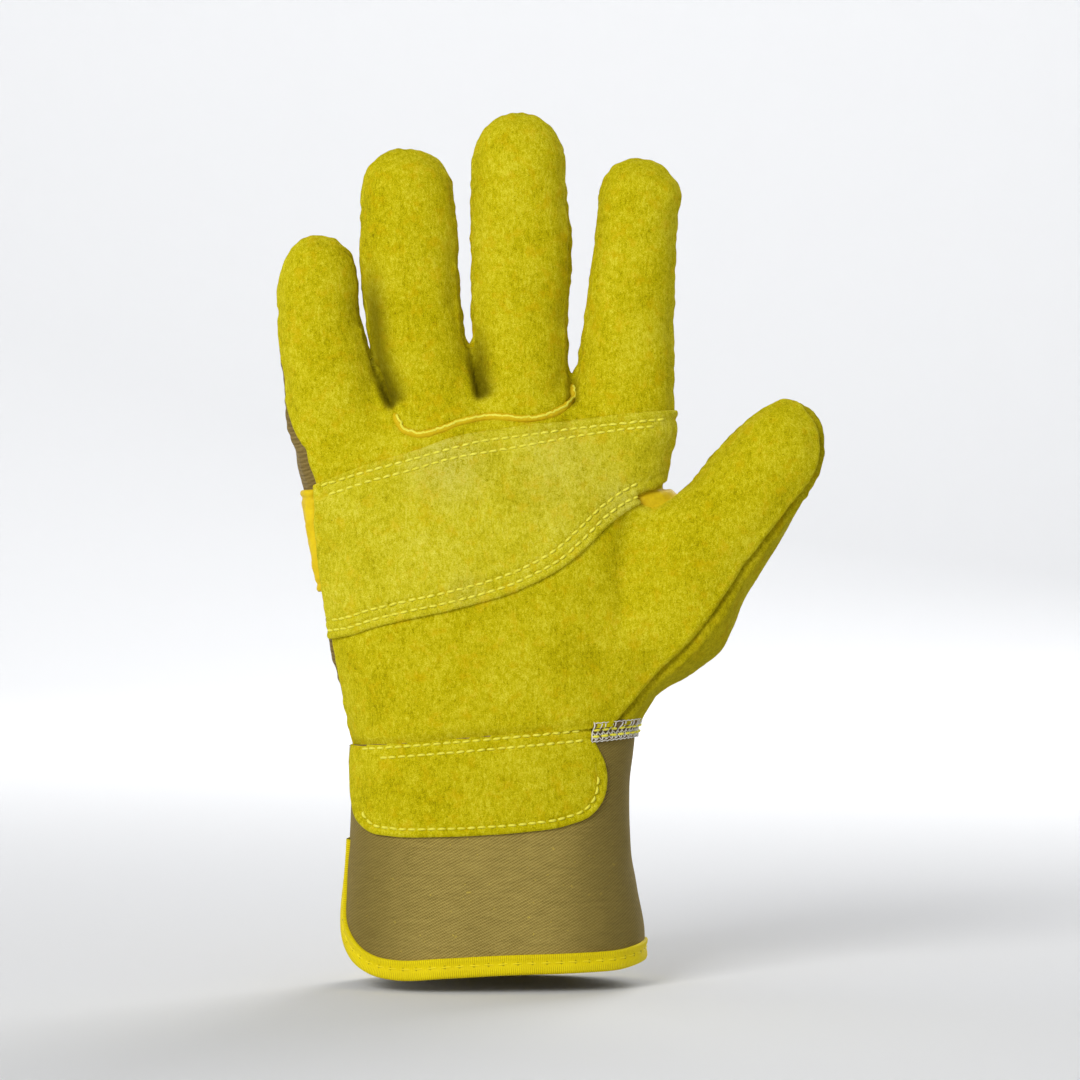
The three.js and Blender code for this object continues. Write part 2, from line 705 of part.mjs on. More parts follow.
// The thumb: its front is the palm's own leather, and its back is a piece of its own.
function addThumb() {
  const seamOut = -30; // the seam down the thumb's outer edge, round towards the palm side
  const seamIn = 192; // the seam on the side of the first finger
  const gap = (s) => ((SEAM_GAP / thumb.sizes(s).a) * 0.5) / DEG;
  const lengths = {
    base: { low: THUMB_ROOT - 7, high: THUMB_CREASE + 7, rows: 8 },
    tip: { low: THUMB_CREASE - 7, high: thumb.length, rows: 9 },
  };
  // The thumb's walls stay clear of the palm, and of the gusset on it, however far the thumb swings back.
  const palmClear = tubeVolume(palm, palmAt(WRIST_HEIGHT) - 2, palmAt(176), -2 * LIFT - 1.4);
  const swung = [0, 0.5, 1].map((part) => turned(palmClear, thumbRoot, part * THUMB_BACK_SWING));
  const halves = {
    base: (solid) => {
      const above = trimAtCrease(solid, thumbRoot, THUMB_FOLD, THUMB_BACK_SWING, 1);
      const below = trimAtCrease(above, thumbMiddle, THUMB_TIP_FOLD, 0, -1);
      return swung.reduce((rest, clear) => rest.subtract(clear), below);
    },
    tip: (solid) => trimAtCrease(solid, thumbMiddle, THUMB_TIP_FOLD, 0, 1),
  };
  for (const [part, span] of Object.entries(lengths)) {
    const front = { left: (s) => seamIn - 360 + gap(s), right: (s) => seamOut - gap(s), columns: 10 };
    const back = { left: (s) => seamOut + gap(s), right: (s) => seamIn - gap(s), columns: 12 };
    for (const [side, edges] of Object.entries({ front, back })) {
      const solid = halves[part](toSolid(sheet(thumb, { ...span, ...edges })));
      add(`thumb_${side}_${part}`, toGeometry(largest(solid)), leather("thumb_leather"));
    }
  }
}

export default glove;
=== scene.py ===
"""A right-hand work glove, standing open as if it were worn: fingers up, palm towards -Y, thumb towards +X.

The hand is one smooth skin, meshed from tapering tubes, then cut along its seams into the leather and cloth
panels that the real glove is sewn from. The palm's patch and the strap are laid on it. The cuff is a sheet of
its own, with tapes folded over its edges. Every stitch is laid on one or the other.
Shapes are worked out in millimetres, in the CAD's frame, and become metres when a mesh is made.
"""

import json
import math

import bpy
import numpy as np
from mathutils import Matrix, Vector
from mathutils.bvhtree import BVHTree
from mathutils.kdtree import KDTree


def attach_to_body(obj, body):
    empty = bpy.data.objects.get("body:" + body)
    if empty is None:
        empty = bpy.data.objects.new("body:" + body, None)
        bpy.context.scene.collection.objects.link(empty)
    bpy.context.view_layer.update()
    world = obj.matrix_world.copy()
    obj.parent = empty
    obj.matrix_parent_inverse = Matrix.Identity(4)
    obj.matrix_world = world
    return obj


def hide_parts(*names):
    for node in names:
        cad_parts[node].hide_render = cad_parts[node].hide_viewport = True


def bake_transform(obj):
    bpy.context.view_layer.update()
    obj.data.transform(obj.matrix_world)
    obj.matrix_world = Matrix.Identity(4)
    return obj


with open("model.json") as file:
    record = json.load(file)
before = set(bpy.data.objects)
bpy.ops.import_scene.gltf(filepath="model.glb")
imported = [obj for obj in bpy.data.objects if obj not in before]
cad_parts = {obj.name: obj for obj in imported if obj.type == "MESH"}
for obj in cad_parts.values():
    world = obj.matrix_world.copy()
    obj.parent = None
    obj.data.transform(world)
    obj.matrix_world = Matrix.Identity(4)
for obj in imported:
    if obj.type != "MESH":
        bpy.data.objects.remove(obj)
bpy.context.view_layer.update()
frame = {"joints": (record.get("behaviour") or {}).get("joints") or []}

MM = 0.001
LEATHER, TWILL, PATCH_THICK, STRAP_THICK, BAND_THICK = 1.3, 0.9, 1.35, 1.3, 0.7
STEP = 1.6  # the first mesh's cell
AXES = {j["name"]: np.array(j["axis"], float) for j in frame["joints"]}


# ---------------------------------------------------------------- camera, light and floor


def place(name, data):
    made = bpy.data.objects.new(name, data)
    bpy.context.scene.collection.objects.link(made)
    return made


def studio():
    camera = place("camera", bpy.data.cameras.new("camera"))
    camera.location = (0.0139, -1.265, 0.1361)
    camera.rotation_euler = (math.radians(90), 0, 0)
    camera.data.sensor_width, camera.data.lens, camera.data.clip_start = 36, 136.9, 0.05
    bpy.context.scene.camera = camera

    glove = (0.01, 0, 0.14)
    lights = {  # place, aim, size, watts
        "key": ((-0.95, -1.85, 1.2), glove, 1.0, 35),
        "back_key": ((0.9, 1.8, 1.2), glove, 1.2, 26),
        "back_fill": ((-1.6, 0.9, 0.5), glove, 1.2, 4),
        "wall_light": ((0, 1.6, 2.2), (0, 3.3, 0.9), 1.6, 34),
    }
    for name, (at, aim, size, watts) in lights.items():
        light = place(name, bpy.data.lights.new(name, "AREA"))
        light.data.energy, light.data.size = watts, size
        light.location = at
        light.rotation_euler = (Vector(aim) - Vector(at)).to_track_quat("-Z", "Y").to_euler()

    world = bpy.data.worlds.new("studio")
    world.use_nodes = True
    background = world.node_tree.nodes["Background"].inputs
    background["Color"].default_value = (0.97, 0.98, 1.0, 1)
    background["Strength"].default_value = 0.3
    bpy.context.scene.world = world
    bpy.context.scene.view_settings.view_transform = "Standard"


def pale_floor():
    """A floor that sweeps up to a wall all round."""
    flat, sweep, wall, floor_z, sides = 2.2, 1.2, 2.4, -0.0006, 96
    turns = np.linspace(0, math.pi / 2, 13)[1:]
    curve = [(flat + sweep * math.sin(t), sweep * (1 - math.cos(t))) for t in turns]
    profile = [(0.01, 0.0), (flat, 0.0), *curve, (flat + sweep, wall)]
    around = [(math.cos(k * 2 * math.pi / sides), math.sin(k * 2 * math.pi / sides)) for k in range(sides)]
    faces = [tuple(range(sides))]
    for ring in range(len(profile) - 1):
        for k in range(sides):
            a, b = ring * sides + k, ring * sides + (k + 1) % sides
            faces.append((a, a + sides, b + sides, b))
    mesh = bpy.data.meshes.new("floor")
    mesh.from_pydata([(r * c, r * s, floor_z + z) for r, z in profile for c, s in around], [], faces)
    mesh.polygons.foreach_set("use_smooth", [True] * len(faces))
    pale = bpy.data.materials.new("pale_floor")
    pale.use_nodes = True
    paint = {"Base Color": (0.78, 0.785, 0.795, 1), "Roughness": 0.9, "Specular IOR Level": 0.1}
    for name, value in paint.items():
        pale.node_tree.nodes["Principled BSDF"].inputs[name].default_value = value
    mesh.materials.append(pale)
    return place("floor", mesh)


studio()
pale_floor()


# ---------------------------------------------------------------- curves, noise and small helpers


def unit(vectors):
    return vectors / np.linalg.norm(vectors, axis=-1)[..., None]


def lengths_along(points):
    return np.concatenate([[0], np.cumsum(np.linalg.norm(np.diff(points, axis=0), axis=1))])


def smooth_curve(at, values):
    """A function that runs smoothly through values, one for each place in at."""
    at, values = np.array(at, float), np.array(values, float)
    slope = np.gradient(values, at)

    def curve(x):
        x = np.clip(x, at[0], at[-1])
        i = np.clip(np.searchsorted(at, x) - 1, 0, len(at) - 2)
        h = at[i + 1] - at[i]
        t = (x - at[i]) / h
        ends = (1 + 2 * t) * (1 - t) ** 2 * values[i] + t * t * (3 - 2 * t) * values[i + 1]
        return ends + t * (1 - t) * h * ((1 - t) * slope[i] - t * slope[i + 1])

    return curve


def smooth_min(a, b, reach):
    h = np.maximum(reach - np.abs(a - b), 0) / reach
    return np.minimum(a, b) - h * h * reach / 4


def smoothstep(low, high, x):
    t = np.clip((x - low) / (high - low), 0, 1)
    return t * t * (3 - 2 * t)


def bump(x):
    return np.exp(-x * x)


def waves(points, size, seed, count=14):
    """A smooth random field from about -1 to 1, with features of that size in mm."""
    rng = np.random.default_rng(seed)
    total = np.zeros(len(points))
    for _ in range(count):
        direction = rng.normal(size=3)
        direction /= np.linalg.norm(direction)
        k = direction * 2 * math.pi / (size * rng.uniform(0.75, 1.5))
        total += np.sin(points @ k + rng.uniform(0, 2 * math.pi))
    return total / math.sqrt(count) / 1.2


def line_distance(points, line):
    """From 2-D points to an open line: the distance, how far along the line, and the side, + on its right."""
    line = np.array(line, float)
    steps = np.diff(line, axis=0)
    best = np.full(len(points), np.inf)
    along = np.zeros(len(points))
    side = np.ones(len(points))
    for start, step, before in zip(line, steps, lengths_along(line)):
        length = np.hypot(*step)
        offset = points - start
        t = np.clip(offset @ step / length**2, 0, 1)
        distance = np.hypot(*(offset - t[:, None] * step).T)
        nearer = distance < best - 1e-9
        cross = offset[:, 1] * step[0] - offset[:, 0] * step[1]
        best = np.where(nearer, distance, best)
        along = np.where(nearer, before + t * length, along)
        side = np.where(nearer, np.where(cross < 0, 1.0, -1.0), side)
    return best, along, side


def right_of(points, line):
    """How far points, taken in X and Z, are to the right of a line."""
    distance, _, side = line_distance(points[:, [0, 2]], line)
    return distance * side


def inside_distance(points, outline):
    """The distance to a closed 2-D outline, + inside and - outside."""
    outline = np.array(outline, float)
    distance = line_distance(points, np.vstack([outline, outline[:1]]))[0]
    inside = np.zeros(len(points), bool)
    for (x0, y0), (x1, y1) in zip(outline, np.roll(outline, -1, axis=0)):
        crosses = (y0 > points[:, 1]) != (y1 > points[:, 1])
        at = x0 + (points[:, 1] - y0) * (x1 - x0) / (y1 - y0 if y1 != y0 else 1e-9)
        inside ^= crosses & (points[:, 0] < at)
    return np.where(inside, distance, -distance)


def rounded(points, step=1.0):
    """Even points, about step apart, on a smooth curve through 2-D points."""
    points = np.array(points, float)
    lengths = lengths_along(points)
    fine = np.linspace(0, lengths[-1], max(8, int(lengths[-1] / step)))
    return np.stack([smooth_curve(lengths, column)(fine) for column in points.T], axis=1)


def to_left(line):
    """Unit steps to the left, along the whole of a 2-D line."""
    step = unit(np.gradient(line, axis=0))
    return np.column_stack([-step[:, 1], step[:, 0]])


def grid_corners(rows, columns, around=False):
    """The corners of each cell of a grid: its own point, the next row's, the diagonal, the next column's."""
    i, k = np.meshgrid(np.arange(rows - 1), np.arange(columns - (not around)), indexing="ij")
    a, b = (i * columns + k).ravel(), (i * columns + (k + 1) % columns).ravel()
    return np.column_stack([a, a + columns, b + columns, b])


def halves(quads):
    """Each quad as two triangles."""
    return np.vstack([quads[:, [0, 1, 2]], quads[:, [0, 2, 3]]])


def split_edges(faces):
    """The edges of faces as sorted pairs of points, and for each face the number of its edges."""
    edges = np.sort(np.stack([faces, np.roll(faces, -1, axis=1)], axis=2).reshape(-1, 2), axis=1)
    unique, which = np.unique(edges, axis=0, return_inverse=True)
    return unique, which.reshape(-1, faces.shape[1])


# ---------------------------------------------------------------- the hand's shape


def superellipse_norm(power, *parts):
    return sum(np.abs(part) ** power for part in parts) ** (1 / power)


class Finger:
    """An upright tapering tube. rows are height, centre x, half width and half depth."""

    def __init__(self, name, cap, end, rows):
        z, x, a, b = np.array(rows, float).T
        self.name, self.cap, self.end, self.low = name, cap, end, z[0]
        self.x, self.a, self.b = (smooth_curve(z, values) for values in (x, a, b))

    def local(self, p):
        """Across the finger, height of the nearest point of its centre line, and depth."""
        x, z = p[:, 0], p[:, 2]
        lean = (self.x(z + 1) - self.x(z - 1)) / 2
        cos = 1 / np.sqrt(1 + lean**2)
        foot = z + (x - self.x(z)) * lean * cos**2
        return (x - self.x(z)) * cos, foot, p[:, 1]

    def field(self, p):
        u, z, y = self.local(p)
        a, b = self.a(z), self.b(z)
        top = np.maximum(z - self.cap, 0) / (self.end - self.cap)
        foot = np.maximum(self.low - z, 0) / 10
        return (superellipse_norm(2.4, superellipse_norm(2.35, u / a, y / b), top, foot) - 1) * (a + b) / 2


LITTLE_ROWS = [(164, -45.2, 13.2, 12), (176, -48.4, 14.6, 13), (186, -51, 14, 13), (195, -52.8, 13.2, 12.7)]
LITTLE_ROWS += [(204, -54.2, 12.4, 12.3), (213, -54.5, 12.2, 12)]
LITTLE_ROWS += [(222, -53.6, 11.4, 11.4), (232, -52.4, 10.8, 11)]
RING_ROWS = [(164, -18, 13, 12), (178, -20.4, 13.9, 13.2), (190, -22.4, 14.3, 13), (204, -24.7, 14.4, 12.6)]
RING_ROWS += [(213, -25.8, 14.6, 12.5), (224, -26.6, 14.8, 12.4)]
RING_ROWS += [(240, -27, 14.3, 12), (258, -27, 12.8, 11.2)]
MIDDLE_ROWS = [(164, 9.4, 12, 12), (178, 8.6, 13.2, 13.2), (190, 7.9, 14.2, 13.1), (204, 7.5, 14.3, 12.9)]
MIDDLE_ROWS += [(222, 8.2, 15, 12.7), (240, 7.6, 14.6, 12.4), (256, 7.2, 13.9, 11.8), (268, 6.6, 12.6, 11)]
INDEX_ROWS = [(164, 38, 13.2, 12), (176, 39.8, 14.8, 13), (186, 40.2, 14.9, 13), (200, 41.2, 13.9, 12.8)]
INDEX_ROWS += [(214, 42.2, 13, 12.4), (230, 43.4, 12.2, 12), (244, 44, 12.2, 11.6), (254, 43.8, 11.6, 11)]
FINGERS = [
    Finger("little", 214, 229.4, LITTLE_ROWS),
    Finger("ring", 240.5, 256.5, RING_ROWS),
    Finger("middle", 250.5, 267.2, MIDDLE_ROWS),
    Finger("index", 238.5, 253, INDEX_ROWS),
]

PALM_X = smooth_curve([60, 90, 116, 130, 158, 190], [0, -0.5, -1.8, -2.8, -4.4, -4.4])
PALM_A = smooth_curve(
    [60, 70, 79, 90, 102, 116, 130, 145, 158, 170, 180, 190],
    [42.4, 42.8, 44.4, 46.6, 48.8, 50.2, 52.2, 53.9, 55.2, 56.6, 56.8, 52],
)
PALM_B = smooth_curve(
    [60, 70, 79, 90, 102, 116, 130, 145, 158, 168, 178, 186, 192],
    [24, 24.2, 24.8, 24.6, 24.2, 23.6, 22.2, 20.2, 17.8, 15.4, 11.6, 8, 5],
)
PALM_TOP = smooth_curve(
    [-70, -60, -38, -23, -8.4, 8, 22.6, 40, 60],
    [176, 180, 184.5, 191, 193.5, 190, 185, 183, 174],
)
VALLEY = 1.15  # how fast the palm's top falls towards the front, which leaves a valley below each gap

THUMB_ORIGIN = np.array([49.3, -1.5, 105.3])
THUMB_ALONG = np.array([0.628, 0, 0.778])
THUMB_OUT = np.array([0.778, 0, -0.628])
THUMB_PLACES = [-14, -4, 10, 30, 42, 50, 62, 74, 86]
THUMB_SHIFT = smooth_curve(THUMB_PLACES, [-6, -3.4, -1.8, -4.6, -5, -5.4, -6.2, -6.5, -8])
THUMB_A = smooth_curve(THUMB_PLACES, [15.4, 18, 19.4, 17.6, 16.8, 16.1, 14.8, 14.2, 13.4])
THUMB_B = smooth_curve([-14, 0, 15, 30, 45, 60, 74, 86], [13, 17.5, 18.4, 17.2, 15.6, 14.4, 13.3, 12])
THUMB_FOOT, THUMB_CAP, THUMB_TIP = -13, 63, 84.6


def thumb_field(p):
    along = (p - THUMB_ORIGIN) @ THUMB_ALONG
    across = (p - THUMB_ORIGIN) @ THUMB_OUT - THUMB_SHIFT(along)
    a, b = THUMB_A(along), THUMB_B(along)
    section = superellipse_norm(2.3, across / a, (p[:, 1] - THUMB_ORIGIN[1]) / b)
    top = np.maximum(along - THUMB_CAP, 0) / (THUMB_TIP - THUMB_CAP)
    foot = np.maximum(THUMB_FOOT - along, 0) / 14
    return (superellipse_norm(2.3, section, top, foot) - 1) * (a + b) / 2


def blob(p, centre, radii):
    """A soft ellipsoid that fills a corner."""
    radii = np.array(radii, float)
    return (np.linalg.norm((p - np.array(centre)) / radii, axis=1) - 1) * radii.min()


def palm_field(p):
    x, y, z = p.T
    a, b = PALM_A(z), PALM_B(z)
    u, v = np.abs(x - PALM_X(z)) / a, np.abs(y) / b
    norm = superellipse_norm(2.5, u, v) + 1e-9
    slope = np.hypot(u**1.5 / a, v**1.5 / b) * norm**-1.5 + 1e-6
    top = PALM_TOP(x) - VALLEY * np.maximum(-y - 3, 0)
    return -smooth_min((1 - norm) / slope, top - z, 9)


def hand_field(p):
    """Below zero inside the glove, zero on its skin."""
    hand = FINGERS[0].field(p)
    for finger in FINGERS[1:]:
        hand = smooth_min(hand, finger.field(p), 0.8)
    hand = smooth_min(hand, palm_field(p), 7)
    thumb = smooth_min(thumb_field(p), blob(p, (54.5, -1, 141.2), (9, 11, 8)), 7)
    hand = smooth_min(hand, thumb, 9)
    return smooth_min(hand, blob(p, (53.2, -1, 242.2), (3, 6.5, 3)), 4)


def project(points, passes=3, h=0.35):
    """Moves points onto the skin."""
    for _ in range(passes):
        steps = h * np.eye(3)
        slope = np.stack([(hand_field(points + e) - hand_field(points - e)) / (2 * h) for e in steps], axis=1)
        points = points - slope * (hand_field(points) / np.maximum((slope**2).sum(1), 0.05))[:, None]
    return points


def surface_nets(low, high, step):
    """Quads of the field's zero surface, one vertex for each cell that it passes through."""
    counts = np.ceil((np.array(high) - low) / step).astype(int) + 1
    axes = [low[k] + step * np.arange(counts[k]) for k in range(3)]
    grid = np.empty(counts)
    for i in range(0, counts[0], 16):
        x, y, z = np.meshgrid(axes[0][i : i + 16], axes[1], axes[2], indexing="ij")
        block = np.stack([x.ravel(), y.ravel(), z.ravel()], axis=1)
        grid[i : i + 16] = hand_field(block).reshape(x.shape)
    total = np.zeros((*(counts - 1), 3))
    hits = np.zeros(counts - 1)
    crossings = []
    for axis in range(3):
        a = np.take(grid, range(counts[axis] - 1), axis)
        b = np.take(grid, range(1, counts[axis]), axis)
        crosses = (a < 0) != (b < 0)
        crossings.append((crosses, a < 0))
        t = np.where(crosses, a / np.where(a == b, 1, a - b), 0)
        u, v = [k for k in range(3) if k != axis]
        for du in (0, 1):
            for dv in (0, 1):
                pick = [slice(None)] * 3
                pick[u] = slice(du, counts[u] - 1 + du)
                pick[v] = slice(dv, counts[v] - 1 + dv)
                hit = crosses[tuple(pick)]
                total[..., axis] += np.where(hit, t[tuple(pick)], 0)
                total[..., u] += hit * du
                total[..., v] += hit * dv
                hits += hit
    active = hits > 0
    index = np.full(active.shape, -1)
    index[active] = np.arange(active.sum())
    points = np.array(low) + step * (np.argwhere(active) + total[active] / hits[active][:, None])
    quads = []
    for axis, (crosses, inside) in enumerate(crossings):
        u, v = [k for k in range(3) if k != axis]
        at = np.argwhere(crosses)
        at = at[(at[:, u] > 0) & (at[:, v] > 0) & (at[:, u] < counts[u] - 1) & (at[:, v] < counts[v] - 1)]
        flip = inside[tuple(at.T)] ^ (axis == 1)
        around = []
        for du, dv in ((0, 0), (1, 0), (1, 1), (0, 1)):
            shifted = at.copy()
            shifted[:, u] -= du
            shifted[:, v] -= dv
            around.append(index[tuple(shifted.T)])
        quad = np.stack(around, axis=1)
        quad[~flip] = quad[~flip][:, ::-1]
        quads.append(quad)
    return points, np.vstack(quads)


def subdivide(points, quads):
    """Each quad becomes four."""
    edges, which = split_edges(quads)
    middle = len(points) + which
    centre = len(points) + len(edges) + np.arange(len(quads))
    grown = np.vstack([points, points[edges].mean(1), points[quads].mean(1)])
    parts = [np.stack([quads[:, k], middle[:, k], centre, middle[:, k - 1]], axis=1) for k in range(4)]
    return grown, np.vstack(parts)


# a triangle whose first, first and third, or every edge is cut, as new triangles of its corners 0 to 2
# and of the cuts 3 to 5 on the edges that follow them
CUT_PATTERNS = [
    ([True, False, False], [(0, 3, 2), (3, 1, 2)]),
    ([True, False, True], [(0, 3, 5), (3, 1, 2), (3, 2, 5)]),
    ([True, True, True], [(0, 3, 5), (1, 4, 3), (2, 5, 4), (3, 4, 5)]),
]


class Skin:
    """Triangles that can be cut along a curve, with a zone and a panel for each."""

    def __init__(self, points, triangles):
        self.points, self.faces = points, triangles
        self.labels = {"zone": np.zeros(len(triangles), int), "panel": np.zeros(len(triangles), int)}

    def centres(self):
        return self.points[self.faces].mean(1)

    def has(self, label, numbers, *names):
        """Where the faces' label is one of names."""
        return np.isin(self.labels[label], [numbers[name] for name in names])

    def cut(self, side_of, where, label, value, snap=0.07):
        """Cuts the faces in where along side_of(points) = 0, and labels those on its + side."""
        g = side_of(self.points)
        g = np.where(np.abs(g) < snap, 0, g)
        faces, n = self.faces, len(self.points)
        corner = [faces, np.roll(faces, -1, axis=1)]
        low, high = np.minimum(*corner), np.maximum(*corner)
        key = low * n + high
        cut_keys = np.unique(key[(g[low] * g[high] < 0) & where[:, None]])
        a, b = cut_keys // n, cut_keys % n
        t = (g[a] / (g[a] - g[b]))[:, None]
        self.points = np.vstack([self.points, self.points[a] * (1 - t) + self.points[b] * t])
        g = np.concatenate([g, np.zeros(len(cut_keys))])
        new = np.full(key.shape, -1)
        if len(cut_keys):
            found = np.clip(np.searchsorted(cut_keys, key), 0, len(cut_keys) - 1)
            new = np.where(cut_keys[found] == key, n + found, -1)
        count = (new >= 0).sum(1)
        pieces, parents = [faces[count == 0]], [np.flatnonzero(count == 0)]
        for wanted, triangles in CUT_PATTERNS:
            pick = np.flatnonzero(count == sum(wanted))
            for turn in range(1 if all(wanted) else 3):
                cuts = np.roll(new[pick], -turn, axis=1)
                match = np.all((cuts >= 0) == wanted, axis=1)
                both = np.hstack([np.roll(faces[pick], -turn, axis=1), cuts])[match]
                for triangle in triangles:
                    pieces.append(both[:, triangle])
                    parents.append(pick[match])
        parents = np.concatenate(parents)
        self.faces = np.vstack(pieces)
        self.labels = {name: values[parents] for name, values in self.labels.items()}
        self.labels[label][where[parents] & (g[self.faces].sum(1) > 0)] = value

    def keep(self, mask):
        self.labels = {name: values[mask] for name, values in self.labels.items()}
        used, faces = np.unique(self.faces[mask], return_inverse=True)
        self.points, self.faces = self.points[used], faces.reshape(-1, 3)


def vertex_normals(points, faces):
    a, b, c = (points[faces[:, k]] for k in range(3))
    flat = np.cross(b - a, c - a)
    normals = np.zeros_like(points)
    for k in range(3):
        np.add.at(normals, faces[:, k], flat)
    return normals / np.maximum(np.linalg.norm(normals, axis=1), 1e-12)[:, None]


# ---------------------------------------------------------------- materials


def linear(colour):
    """An sRGB colour, 0 to 255, as the linear one that a shader takes."""
    c = np.array(colour) / 255
    return (*np.where(c <= 0.04045, c / 12.92, ((c + 0.055) / 1.055) ** 2.4), 1)


class Value:
    """A number that a shader works out. Its arithmetic makes nodes."""

    def __init__(self, finish, socket):
        self.finish, self.socket = finish, socket

    def combined(self, operation, a, b=0.0):
        made = self.finish.node("ShaderNodeMath", {0: a, 1: b}, operation=operation)
        return Value(self.finish, made.outputs[0])

    def __add__(self, other):
        return self.combined("ADD", self, other)

    def __sub__(self, other):
        return self.combined("SUBTRACT", self, other)

    def __rsub__(self, other):
        return self.combined("SUBTRACT", other, self)

    def __mul__(self, other):
        return self.combined("MULTIPLY", self, other)

    def __abs__(self):
        return self.combined("ABSOLUTE", self)

    def sine(self, wave=2 * math.pi):
        """A sine from 0 to 1 that repeats each wave."""
        return self.combined("SINE", self * (2 * math.pi / wave)) * 0.5 + 0.5

    def span(self, low, high):
        """A smooth step from 0 at low to 1 at high."""
        put = {"Value": self, "From Min": low, "From Max": high}
        made = self.finish.node("ShaderNodeMapRange", put, interpolation_type="SMOOTHSTEP")
        return Value(self.finish, made.outputs["Result"])


class Finish:
    """A material built from nodes that read a piece's rest place or cloth coordinates, in mm."""

    def __init__(self, name, roughness, specular=0.5, sheen=0.0, sheen_tint=(255, 255, 255)):
        self.material = bpy.data.materials.new(name)
        self.material.use_nodes = True
        self.tree = self.material.node_tree
        self.shader = self.tree.nodes["Principled BSDF"].inputs
        put = {"Roughness": roughness, "Specular IOR Level": specular, "Sheen Weight": sheen}
        self.fill(self.shader, {**put, "Sheen Roughness": 0.55, "Sheen Tint": linear(sheen_tint)})
        self.rest = self.attribute("rest")

    def fill(self, inputs, values):
        """Sets or links the inputs named or numbered in values."""
        for name, value in values.items():
            value = getattr(value, "socket", value)
            if isinstance(value, bpy.types.NodeSocket):
                self.tree.links.new(value, inputs[name])
            else:
                inputs[name].default_value = value

    def node(self, kind, inputs, **settings):
        made = self.tree.nodes.new(kind)
        for name, value in settings.items():
            setattr(made, name, value)
        self.fill(made.inputs, inputs)
        return made

    def attribute(self, name):
        return self.node("ShaderNodeAttribute", {}, attribute_name=name).outputs["Vector"]

    def noise(self, size, detail=2.0, rough=0.55, at=None, stretch=(1, 1, 1), offset=(0, 0, 0)):
        """Noise from 0 to 1 whose features are about size mm."""
        put = {"Vector": self.rest if at is None else at, "Scale": stretch, "Location": offset}
        vector = self.node("ShaderNodeMapping", put).outputs["Vector"]
        put = {"Vector": vector, "Scale": 1 / size, "Detail": detail, "Roughness": rough}
        return Value(self, self.node("ShaderNodeTexNoise", put).outputs["Fac"])

    def weighed(self, *terms):
        """The sum of (value, weight) pairs, each value centred on a half, about a half."""
        total = 0.5
        for value, weight in terms:
            total = (value - 0.5) * weight + total
        return total

    def ramp(self, value, *stops):
        made = self.node("ShaderNodeValToRGB", {"Fac": value})
        elements = made.color_ramp.elements
        while len(elements) < len(stops):
            elements.new(0.5)
        for element, (place, colour) in zip(elements, stops):
            element.position = place
            element.color = linear(colour)
        return made.outputs["Color"]

    def mix(self, amount, a, b):
        """Colour a, which a node gives, mixed with b, an sRGB colour."""
        return self.node("ShaderNodeMix", {0: amount, 6: a, 7: linear(b)}, data_type="RGBA").outputs[2]

    def dot(self, vector, direction):
        made = self.node("ShaderNodeVectorMath", {0: vector, 1: direction}, operation="DOT_PRODUCT")
        return Value(self, made.outputs["Value"])

    def near(self, place, radius):
        """1 at a place, falling to 0 at radius mm from it in X and Z."""
        flat = self.node("ShaderNodeVectorMath", {0: self.rest, 1: (1, 0, 1)}, operation="MULTIPLY")
        put = {0: flat.outputs[0], 1: (place[0], 0, place[1])}
        gap = self.node("ShaderNodeVectorMath", put, operation="DISTANCE").outputs["Value"]
        return Value(self, gap).span(radius, 0)

    def finish(self, colour, height, depth=0.1, strength=1.0):
        bumped = {"Height": height, "Strength": strength, "Distance": depth * MM}
        normal = self.node("ShaderNodeBump", bumped).outputs["Normal"]
        self.fill(self.shader, {"Base Color": colour, "Normal": normal})
        return self.material


def suede(name, dark, middle, light, warm, rubbed=()):
    """Split leather: a short nap, mottled where it has been brushed either way, and darkened with painted
    shade where it is folded.

    rubbed lists paler, fluffier places. The third cloth coordinate says how deep in a fold a place is, and so
    how much painted shade it gets.
    """
    s = Finish(name, roughness=0.95, specular=0.05, sheen=0.16, sheen_tint=(250, 236, 60))
    fibres = s.noise(0.33, 3, 0.8)
    lying = s.noise(0.75, 2, 0.6, stretch=(1.0, 1.0, 0.45), offset=(3, 7, 1))
    clumps = s.noise(2.2, 3, 0.6, offset=(11, 2, 5))
    brushed = s.noise(15, 2, 0.5, offset=(5, 1, 9))
    tone = s.weighed((fibres, 1.1), (lying, 0.45), (clumps, 0.36), (brushed, 0.3))
    colour = s.ramp(tone, (0.2, dark), (0.5, middle), (0.8, light))
    patches = s.noise(4.5, 3, 0.6, offset=(31, 17, 3))
    colour = s.mix(patches.span(0.5, 0.72) * 0.4, colour, warm)
    specks = s.noise(0.55, 2, 0.7, offset=(23, 5, 13))
    colour = s.mix(specks.span(0.6, 0.74) * 0.45, colour, (136, 104, 0))
    for place, radius, amount in rubbed:
        fluff = s.near(place, radius) * tone.span(0.3, 0.62)
        colour = s.mix(fluff * amount, colour, (216, 210, 112))
    # painted shade: darker brown the deeper a place lies in a fold
    colour = s.mix(s.dot(s.attribute("cloth"), (0, 0, 1)) * 0.72, colour, (74, 62, 0))
    return s.finish(colour, s.weighed((fibres, 1.0), (lying, 0.7), (clumps, 0.8)), depth=0.32, strength=0.85)


def smooth_leather(name, dark, light):
    s = Finish(name, roughness=0.6, specular=0.15)
    grain = s.noise(0.7, 3, 0.6)
    tone = s.weighed((grain, 0.5), (s.noise(7, 3, 0.5, offset=(2, 4, 8)), 0.9))
    s.fill(s.shader, {"Roughness": grain * 0.22 + 0.5})
    return s.finish(s.ramp(tone, (0.2, dark), (0.8, light)), grain, depth=0.12, strength=0.5)


